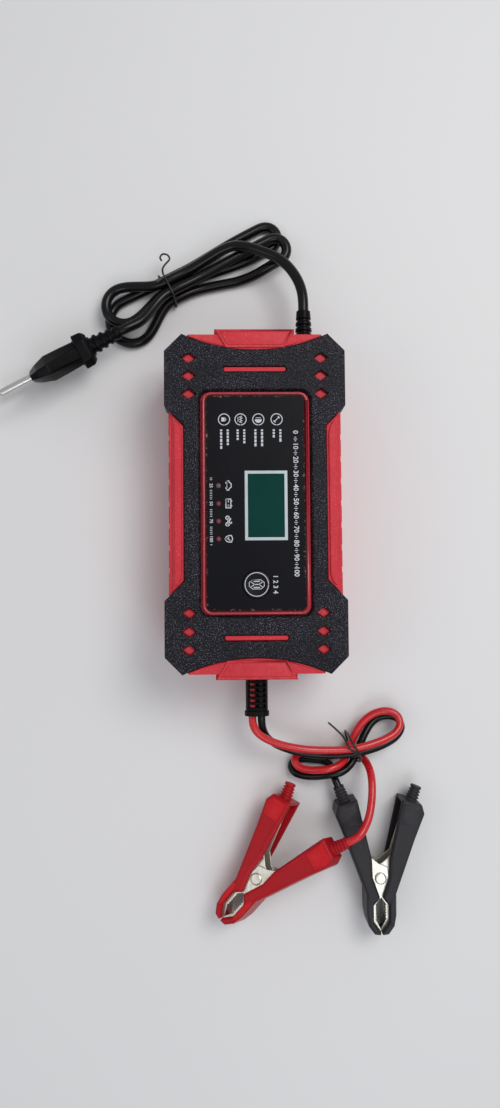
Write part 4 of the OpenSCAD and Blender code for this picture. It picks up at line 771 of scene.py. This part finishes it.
# piece: the solid it stands for, its finish, its slot, the radius of its rounded edges, and what differs
softParts = dict(
    coverPlate=("top_cover", "coverBlack", "black_cover", 0.35, dict(segments=3)),
    upperShell=("top_shell", "shellRed", "red_shell", 0.3),
    lowerShell=("base_shell", "shellRed", "red_shell", 0.3),
    printedPanel=("label_panel", "panelBlack", "panel_print", 0.08),
    displayFrame=("lcd_bezel", "framePale", "pale_plastic", 0.15),
    displayScreen=("lcd_glass", "screenGreen", "display_glass", 0.1),
    displayLight=("lcd_backlight", "ivoryPlastic", "pale_plastic", 0.1),
    keyPlunger=("switch_plunger", "ivoryPlastic", "pale_plastic", 0.15, dict(body="mode_key")),
    keySwitch=("switch_body", "darkPlastic", "black_plastic", 0.15),
    displayBoard=("display_board", "boardGreen", "circuit_board", 0.1),
    mainBoard=("main_board", "boardGreen", "circuit_board", 0.1),
    displayScrews=("display_screws", "screwSteel", "steel", 0.15),
    boardScrews=("board_screws", "screwSteel", "steel", 0.15),
    housingScrews=("housing_screws", "screwSteel", "steel", 0.15),
    rubberFeet=("rubber_feet", "footRubber", "rubber", 0.2),
    powerTransformer=("transformer", "ferriteGrey", "ferrite", 0.3, dict(thin=True)),
    mainsCapacitor=("mains_capacitor", "capSleeve", "sleeve", 0.2),
    outputCapacitors=("output_capacitors", "capSleeve", "sleeve", 0.15),
    heatSinks=("heatsinks", "finAluminium", "aluminium", 0.15),
    powerTransistors=("transistors", "darkPlastic", "black_plastic", 0.12),
    woundChoke=("choke", "copperWound", "copper_wire", 0.3),
    boardFuse=("fuse", "fuseTan", "fuse_body", 0.2),
    fanFrame=("fan_frame", "darkPlastic", "black_plastic", 0.2),
    fanRotor=("fan_rotor", "darkPlastic", "black_plastic", 0.12, dict(body="fan_rotor")),
    fanGuard=("fan_guard", "darkPlastic", "black_plastic", 0.15),
    mainsSleeve=("mains_gland", "darkPlastic", "black_plastic", 0.22, dict(split=True, share=9)),
    outputSleeve=("dc_gland", "darkPlastic", "black_plastic", 0.2),
)
for color in ("red", "black"):
    for arm, body in (("fixed", "charger"), ("moving", color + "_arm")):
        armed = color + arm.capitalize()
        softParts[armed + "Grip"] = (color + "_cover_" + arm, "grip" + color.capitalize(), color + "_grip",
            0.5, dict(segments=3, body=body, thin=True))
        softParts[armed + "Jaw"] = (color + "_jaw_" + arm, "nickelPlate", "nickel", 0.18, dict(body=body))
    softParts[color + "Rivet"] = (color + "_rivet", "nickelPlate", "steel", 0.15)
softParts["plugShell"] = ("plug_body", "darkPlastic", "plug_plastic", 0.7,
    dict(segments=3, angle=20, thin=True))
softParts["plugPins"] = ("plug_pins", "pinNickel", "nickel", 0.2)

for name, (solid, finish, slotName, edge, *extras) in softParts.items():
    softened(name, solid, finish, slotName, edge, **(extras[0] if extras else {}))


# The print stands proud of the panel's face at top and is sunk into it a little. A caption is a row of
# dashes (step from the icon in x, lengths); each dash follows from the one before by the dash rule.
panelPrint = dict(top=49.1, proud=0.045, sunk=0.04, line=0.42, weight=0.018,
    icons=dict(kinds=("link", "half", "wave", "lock"), y=40.5, x=(10.5, 1.6, -7, -15), ring=2.72),
    captions=((1.75, (6.4, 10, 7, 9)), (-1.45, (6, 9.4, 6.4, 10.6))), dash=0.9, dashGap=0.42,
    dashRule=(1.7, 0.35, 0.2, 0.8), captionDrop=4.9, captionWidth=1,
    scale=dict(x=19.5, ends=(34.2, -33.4), steps=10, barPitch=0.9, barLengths=(0.8, 1.7, 0.8),
        barWidth=0.34, number=3.35),
    signs=dict(kinds=("car", "battery", "bike", "shield"), x=-13, size=1.12),
    levels=dict(x=-21.5, size=2.1, labels=("25", "50", "75", "100"), ends=(12, -20.6), pitch=0.85,
        clear=2.1, tick=1.1, tickWidth=0.26), keyMark=dict(x=9.2, size=3.2, label="1 2 3 4"))
keyLook = dict(at=(0.2, -39.5), radius=6.7, top=49.2, flange=8, flangeHeight=1.1, underside=43.95,
    stem=(2, 0.6), rim=0.35, rimStep=(0.1, 0.12), dish=(5.05, 4.75, 0.06), ring=5.65, line=0.38,
    proud=0.03, signDepth=0.09, sides=64, ringSides=56)
ledLook = dict(x=-17.9, y=(8.3, -0.4, -8.9, -17.5), radius=1.45, flange=0.4, heights=(44.25, 45.1, 47.85),
    board=40, legAt=0.9, legHalf=0.25, legSunk=0.2, sides=32, domeSteps=9)

# plain pictograms as rows (path, closed, width): no width is the print's line, and 0 is a filled plate
signShapes = dict(
    car=[([(-2, -0.7), (-2, 0.1), (-1.3, 0.3), (-0.8, 1.1), (0.7, 1.1), (1.3, 0.3), (2, 0.1), (2, -0.7)],
          True),
        (ringPath(0.5, centre=(-1.15, -0.9), count=14), True, 0),
        (ringPath(0.5, centre=(1.15, -0.9), count=14), True, 0)],
    battery=[([(-1.9, -1.2), (1.9, -1.2), (1.9, 0.9), (-1.9, 0.9)], True),
        ([(-1.4, 1.25), (-0.7, 1.25)], False), ([(0.7, 1.25), (1.4, 1.25)], False),
        ([(-1.3, -0.15), (-0.5, -0.15)], False), ([(0.5, -0.15), (1.3, -0.15)], False),
        ([(0.9, -0.55), (0.9, 0.25)], False)],
    bike=[(ringPath(0.75, centre=(-1.4, -0.55), count=18), True),
        (ringPath(0.75, centre=(1.4, -0.55), count=18), True),
        ([(-1.4, -0.55), (-0.6, 0.35), (0.7, 0.35), (1.4, -0.55)], False),
        ([(0.3, 1.15), (0.9, 1.15), (1.1, 0.2)], False), ([(-1.3, 0.75), (-0.4, 0.75)], False),
        ([(-0.6, -0.35), (0.5, -0.35)], False, 0.5)],
    shield=[([(0, -1.7), (1, -1), (1.4, 0), (1.4, 1.1), (0, 1.6), (-1.4, 1.1), (-1.4, 0), (-1, -1)], True),
        ([(-0.6, 0.05), (-0.1, -0.5), (0.7, 0.6)], False)],
    link=[([(-0.9, 0.9), (0.9, -0.9)], False, 0.4), ([(-1.5, 0.6), (-0.6, 1.5)], False, 0.5),
        ([(0.6, -1.5), (1.5, -0.6)], False, 0.5)],
    half=[(ringPath(1.7, -90, 90, 16), True, 0), ([(-0.75, -1.3), (-0.75, 1.3)], False, 0.3)],
    wave=[([(-1.7, 0.7), (-1.15, -0.5), (-0.6, 0.7), (0, -0.5), (0.6, 0.7), (1.15, -0.5), (1.7, 0.7)],
           False, 0.35),
        ([(-1.2, -1.25), (1.2, -1.25)], False, 0.3)],
    lock=[([(-1, -1.3), (1, -1.3), (1, 0.2), (-1, 0.2)], True, 0),
        (ringPath(0.65, 0, 180, 10, (0, 0.2)), False, 0.35)],
    selector=[([(-2.2, -2), (-2.2, 2), (-0.9, 3.6), (0.9, 3.6), (2.2, 2), (2.2, -2), (0.9, -3.6),
                (-0.9, -3.6)], True, 0.32),
        ([(-1.2, -2.75), (0, -1.1), (1.2, -2.75)], False, 0.36),
        ([(-1.2, 2.75), (0, 1.1), (1.2, 2.75)], False, 0.36), ([(0, -1.2), (0, 1.2)], False, 0.45),
        ([(-1.45, -1.5), (-1.45, 1.5)], False, 0.5), ([(1.45, -1.5), (1.45, 1.5)], False, 0.5)],
)


def turnedDown(points, at, size=1):
    # local right runs down the panel, local up runs to its right
    p = np.atleast_2d(np.asarray(points, float)) * size
    return np.stack([at[0] + p[:, 1], at[1] - p[:, 0]], axis=1)


def numberPart(text, size, at, z0, z1):
    curve = bpy.data.curves.new("number", "FONT")
    curve.body, curve.size, curve.offset, curve.resolution_u = text, size, panelPrint["weight"] * size, 3
    curve.align_x, curve.align_y = "CENTER", "CENTER"
    curve.extrude = (z1 - z0) / 2
    obj = bpy.data.objects.new("number", curve)
    scene.collection.objects.link(obj)
    bpy.context.view_layer.update()
    mesh = bpy.data.meshes.new_from_object(obj.evaluated_get(bpy.context.evaluated_depsgraph_get()))
    flat = np.array([vertex.co for vertex in mesh.vertices])
    faces = [list(face.vertices) for face in mesh.polygons]
    for block, thing in ((bpy.data.objects, obj), (bpy.data.curves, curve), (bpy.data.meshes, mesh)):
        block.remove(thing)
    return np.column_stack([turnedDown(flat[:, :2], at), flat[:, 2] + (z0 + z1) / 2]), faces


def signParts(kind, at, size, z0, z1):
    parts = []
    for path, closed, *width in signShapes[kind]:
        p = turnedDown(path, at, size)
        w = width[0] if width else panelPrint["line"]
        parts.append(stripPart(p, w * size, z0, z1, closed) if w else platePart(p, z0, z1))
    return parts


def captionParts(n, x, z0, z1):
    # two rows of dashes under icon n, whose lengths vary by a simple rule
    s = panelPrint
    grow, shift, start, most = s["dashRule"]
    parts = []
    for step, lengths in s["captions"]:
        y = s["icons"]["y"] - s["captionDrop"]
        stop, dash = y - lengths[n], s["dash"]
        while y - dash > stop:
            parts.append(stripPart([(x + step, y), (x + step, y - dash)], s["captionWidth"], z0, z1))
            y -= dash + s["dashGap"]
            dash = s["dash"] + (dash * grow + shift * n + start) % most
    return parts


def scaleParts(z0, z1):
    # numbers down the side of the panel, with three bars between one and the next
    g = panelPrint["scale"]
    parts = []
    places = np.linspace(*g["ends"], g["steps"] + 1)
    for i, y in enumerate(places):
        parts.append(numberPart(str(10 * i), g["number"], (g["x"], y), z0, z1))
        if i < g["steps"]:
            for k, length in enumerate(g["barLengths"]):
                at = (y + places[i + 1]) / 2 + (k - 1) * g["barPitch"]
                bar = [(g["x"] - length / 2, at), (g["x"] + length / 2, at)]
                parts.append(stripPart(bar, g["barWidth"], z0, z1))
    return parts


def levelParts(z0, z1):
    # a number by each lamp and ticks between them
    v = panelPrint["levels"]
    rows = zip(v["labels"], ledLook["y"])
    parts = [numberPart(label, v["size"], (v["x"], y), z0, z1) for label, y in rows]
    for y in np.arange(*v["ends"], -v["pitch"]):
        if min(abs(y - led) for led in ledLook["y"]) > v["clear"]:
            tick = [(v["x"] - v["tick"] / 2, y), (v["x"] + v["tick"] / 2, y)]
            parts.append(stripPart(tick, v["tickWidth"], z0, z1))
    return parts


def buildPrint():
    s = panelPrint
    z = s["top"] - s["sunk"], s["top"] + s["proud"]
    icons, signs, mark = s["icons"], s["signs"], s["keyMark"]
    marks = []
    for n, (kind, x) in enumerate(zip(icons["kinds"], icons["x"])):
        at = (x, icons["y"])
        marks.append(stripPart(turnedDown(ringPath(icons["ring"], count=40), at), s["line"], *z, True))
        marks += signParts(kind, at, 1, *z) + captionParts(n, x, *z)
    marks += scaleParts(*z)
    for kind, y in zip(signs["kinds"], ledLook["y"]):
        marks += signParts(kind, (signs["x"], y), signs["size"], *z)
    marks += levelParts(*z)
    marks.append(numberPart(mark["label"], mark["size"], (mark["x"], keyLook["at"][1]), *z))
    joined("panelMarks", marks, "printPale", "panel_print")


def buildKey():
    # a flanged cap with a rounded rim and a shallow face, and a printed ring and sign on it
    k = keyLook
    r, top, under = k["radius"], k["top"], k["underside"]
    stem, drop = k["stem"]
    flange, rim, (side, fall) = k["flange"], k["rim"], k["rimStep"]
    collar, (dishEdge, dishFlat, dish) = under + k["flangeHeight"], k["dish"]
    cap = [(0, under - drop), (stem, under - drop), (stem, under), (flange, under), (flange, collar),
        (r, collar), (r, top - rim), (r - side, top - fall), (r - rim, top), (dishEdge, top),
        (dishFlat, top - dish), (0, top - dish)]
    cap = turnedPart(cap, k["at"], k["sides"])
    joined("keyCap", [cap], "keyBlack", "black_plastic", "mode_key", body="mode_key", sharp=30)
    path = np.array(k["at"]) + ringPath(k["ring"], count=k["ringSides"])
    ring = stripPart(path, k["line"], top - k["proud"], top + k["proud"], True)
    marks = [ring] + signParts("selector", k["at"], 1, top - k["signDepth"], top)
    joined("keyMarks", marks, "printPale", "panel_print", body="mode_key")


def buildLamps():
    # each lamp: two leads, a flange, a barrel and a domed lens
    l = ledLook
    r, rim, leg, (z0, z1, z2) = l["radius"], l["radius"] + l["flange"], l["legHalf"], l["heights"]
    dome = [(r * math.cos(a), z2 + r * math.sin(a)) for a in np.radians(np.linspace(0, 90, l["domeSteps"]))]
    profile = [(0, z0), (rim, z0), (rim, z1), (r, z1)] + dome[:-1] + [(0, dome[-1][1])]
    groups = (("greyLamp", "lensGrey", l["y"][:1]), ("roseLamps", "lensRose", l["y"][1:]))
    for name, finish, places in groups:
        parts = [turnedPart(profile, (l["x"], y), l["sides"]) for y in places]
        for x, y in [(l["x"] + side * l["legAt"], y) for y in places for side in (-1, 1)]:
            square = [(x - leg, y - leg), (x + leg, y - leg), (x + leg, y + leg), (x - leg, y + leg)]
            parts.append(platePart(square, l["board"], z0 + l["legSunk"]))
        joined(name, parts, finish, "light_lens", "status_leds", sharp=35)


buildPrint()
buildKey()
buildLamps()
print("panel print, key and lamps made")

endPad = dict(inner=14.2, outer=19.8, y0=75.3, y1=85, border=0.95, borderWidth=0.7, inset=1.75, z0=49.9,
    z1=50.34, edge=0.14)
# a dark strip inside the rim, painted shade for the step down to the panel
panelShadeStrip = dict(half=(24.42, 52.62), radius=3.2, width=0.66, z0=49, z1=49.42, cornerSteps=8)
rimBead = dict(half=(25.03, 53.23), radius=3.83, width=0.62, base=49.62, rise=0.36, sunk=0.2,
    steps=9, cornerSteps=12)


def buildEndPads():
    # a narrow border and a pad inside it, with a groove between them, on the block at each end
    e = endPad
    outer, inner, y0, y1 = e["outer"], e["inner"], e["y0"], e["y1"]
    outline = np.array([(outer, y1), (-outer, y1), (-inner, y0), (inner, y0)])
    step = mitres(outline, True)
    parts = []
    for flip in (False, True):
        border, pad = outline + step * e["border"], outline + step * e["inset"]
        if flip:
            border, pad = ((plan * (1, -1))[::-1] for plan in (border, pad))
        parts += [stripPart(border, e["borderWidth"], e["z0"], e["z1"], True),
                  platePart(pad, e["z0"], e["z1"], e["edge"])]
    joined("endPads", parts, "shellRed", "red_shell", sharp=35)


def roundedOutline(half, radius, steps):
    # quarter arcs round the four corners, anticlockwise
    a = np.radians(np.linspace(0, 90, steps))
    arc = radius * np.stack([np.cos(a), np.sin(a)], axis=1)
    corner = np.array(half) - radius
    turns = ((1, 1, False), (-1, 1, True), (-1, -1, False), (1, -1, True))
    return np.vstack([((corner + arc) * (sx, sy))[::-1 if back else 1] for sx, sy, back in turns])


def buildPanelShadeStrip():
    # a dark strip round the panel, on the ledge inside the rim: painted shade where the rim steps down to
    # the panel
    e = panelShadeStrip
    plan = roundedOutline(e["half"], e["radius"], e["cornerSteps"])
    strip = stripPart(plan, e["width"], e["z0"], e["z1"], True)
    joined("panelShadeStrip", [strip], "keyBlack", "panel_print", sharp=35)


def buildRimBead():
    # half an ellipse carried round the crown of the rim, in a darker red than the shell as painted shade
    e = rimBead
    plan = roundedOutline(e["half"], e["radius"], e["cornerSteps"])
    out = -mitres(plan, True) * e["width"]
    arc = [(math.cos(t), e["rise"] * math.sin(t)) for t in np.linspace(0, np.pi, e["steps"])]
    section = [(1, -e["sunk"])] + arc + [(-1, -e["sunk"])]
    grid = np.stack([atHeight(plan + out * d, e["base"] + z) for d, z in section], axis=1)
    joined("rimBead", [gridPart(np.vstack([grid, grid[:1]]))], "rimRed", "red_shell")


buildEndPads()
buildPanelShadeStrip()
buildRimBead()

# The mains tie is wound round the hank's waist: points (v, z) down one side, and two loose ends (u, v, z)
tieLook = dict(diameter=1, sides=10, step=0.5, count=300, pinch=0.6)
mainsTie = dict(at=-3, lead=1.2, climb=0.2, wound=(4, 18),
    side=((6, 0.65), (8.7, 1.7), (9.6, 4.4), (8.5, 7.8), (6.6, 11.4), (4.2, 13.4)),
    start=((3.7, 12.9, 12.9), (3.9, 15.2, 12.2), (6, 16.6, 11.2), (8.2, 15.5, 10.4), (8.3, 13, 10.6),
        (6.4, 11.4, 12), (3.8, 10, 13.2), (1.8, 8.4, 13.2)), end=((-2.4, 3, 15.4), (-4.5, 2, 17.6)))
leadTieRoute = ((36.4, -109, 25), (40.5, -112.6, 25.5), (44.2, -116.6, 24.4), (46.5, -120.8, 20.4),
    (48.5, -123.6, 19.6), (51.5, -126, 18.4), (54.2, -128.4, 15.6), (55, -130.8, 11.4), (54, -132, 7),
    (52.4, -131.2, 2.4), (50.4, -127.6, 0.7), (49.2, -121.8, 0.8), (48, -117.4, 2.4), (47.6, -116.2, 7),
    (48, -117, 13), (48.8, -119, 17.4), (50.4, -122, 19.4), (52.6, -125.2, 18.2), (54.2, -128.4, 15.4))


def makeTie(name, points, node):
    # its cut ends are a little pinched
    t = tieLook
    line = evenLine(smoothLine(points, t["count"]), t["step"])
    radius = np.full(len(line), t["diameter"] / 2)
    radius[[0, -1]] *= t["pinch"]
    tube = gridPart(sweepGrid(line, radius, t["sides"]))
    return joined(name, [tube], "tieWire", "black_plastic", node)


def mainsTiePoints():
    m = mainsTie
    side = np.array(m["side"])
    ring = np.vstack([side, (side * (-1, 1))[::-1]])
    i = np.arange(*m["wound"])
    wound = np.column_stack([m["at"] + m["lead"] - m["climb"] * (i - i[0]), ring[i % len(ring)]])
    start, end = (np.array(m[key]) + (m["at"], 0, 0) for key in ("start", "end"))
    return fromHank(np.vstack([start, wound, end]))


mainsTieObj = makeTie("mainsTie", mainsTiePoints(), "mains_tie")
leadTieObj = makeTie("leadTie", leadTieRoute, "dc_tie")
print("wire ties made")

# each clamp's place, its turn about X, Y and Z, and the side of each arm in the clamp's own frame
clampPlaces = dict(
    red=dict(place=(1.9, -189.4, 13), turn=(7, -25, -41), sides=dict(fixed=1, moving=-1)),
    black=dict(place=(63.6, -190.2, 8.6), turn=(0, 0, 0), sides=dict(fixed=-1, moving=1)),
)
springLook = dict(radius=2.9, wire=1.1, turns=3.18, pitch=1.65, start=147.6, leg=(11.6, 14.6), bend=0.2,
    points=90, handover=8, step=0.6, sides=10)
gripTop, trimSunk = 8.5, 0.1
gripTrim = dict(
    rootBlock=dict(rise=0.45, edge=0.35,
        plan=((19, 26.4), (21.6, 32.4), (20.6, 36), (12.9, 38), (10.9, 28.4))),
    innerRib=dict(rise=0.3, edge=0.2, plan=((7.3, 12), (11, 27.4), (9.7, 27.7), (6, 12.6))),
    nosePad=dict(rise=0.3, edge=0.3,
        plan=((6.4, -19.2), (6.9, -17.6), (6.9, -9), (5.3, -9), (4.5, -12.6), (4.4, -20.6),
            (5.4, -22.6))),
)


def fromClamp(points, color):
    # a point of the clamp's own frame: turned about Y, then X, then Z, and moved to its place
    c = clampPlaces[color]
    rx, ry, rz = (Matrix.Rotation(math.radians(a), 3, axis) for a, axis in zip(c["turn"], "XYZ"))
    return np.asarray(points, float) @ np.array(rz @ rx @ ry).T + c["place"]


def springGrids(side):
    # a coil of falling angle and rising height, with a straight leg from each end to a grip; the moving arm
    # takes its leg and the last part of the coil with it
    s = springLook
    half = s["pitch"] * s["turns"] / 2
    f = np.linspace(0, 1, s["points"])
    a = np.radians(s["start"] - 360 * s["turns"] * f)
    coil = np.column_stack([s["radius"] * np.cos(a), s["radius"] * np.sin(a), half * (2 * f - 1)])
    (x, y), b = s["leg"], s["bend"]
    line = np.vstack([[(-x, y, b - half)], coil, [(x, y, half - b)]])[::side]
    cut = len(line) - 1 - s["handover"]
    pieces = (line[:cut + 1], line[cut:])
    return [sweepGrid(evenLine(part, s["step"]), s["wire"] / 2, s["sides"]) for part in pieces]


def trimPart(key, side, color):
    t = gripTrim[key]
    plan = (np.array(t["plan"]) * (side, 1))[::side]
    points, faces = platePart(plan, gripTop - trimSunk, gripTop + t["rise"], t["edge"])
    return fromClamp(points, color), faces


def buildClampTrim(color, grip, paintedLight):
    sides = clampPlaces[color]["sides"]
    grids = springGrids(sides["moving"])
    tubes = [gridPart(fromClamp(grid.reshape(-1, 3), color).reshape(grid.shape)) for grid in grids]
    joined(color + "Spring", tubes[:1], "springSteel", "steel", color + "_spring")
    joined(color + "SpringLeg", tubes[1:], "springSteel", "steel", body=color + "_arm")
    # the red clamp's root blocks and nose pads take a lighter red as painted light; the black clamp's keep
    # its grip finish
    trims = (("Trim", ("rootBlock", "nosePad"), paintedLight), ("RibTrim", ("innerRib",), grip))
    for arm, side in sides.items():
        body = "charger" if arm == "fixed" else color + "_arm"
        for label, keys, finish in trims:
            parts = [trimPart(key, side, color) for key in keys]
            joined(color + arm.capitalize() + label, parts, finish, color + "_grip", body=body, sharp=35)


buildClampTrim("red", "gripRed", "gripScarlet")
buildClampTrim("black", "gripBlack", "gripBlack")
print("springs and grip trim made")


def declareCord(obj, settings, line):
    tuple(c * mm for c in settings["exit"])


declareCord(mainsObj, mainsCord, mainsPath)
declareCord(redObj, redLead, redPath)
declareCord(blackObj, blackLead, blackPath)
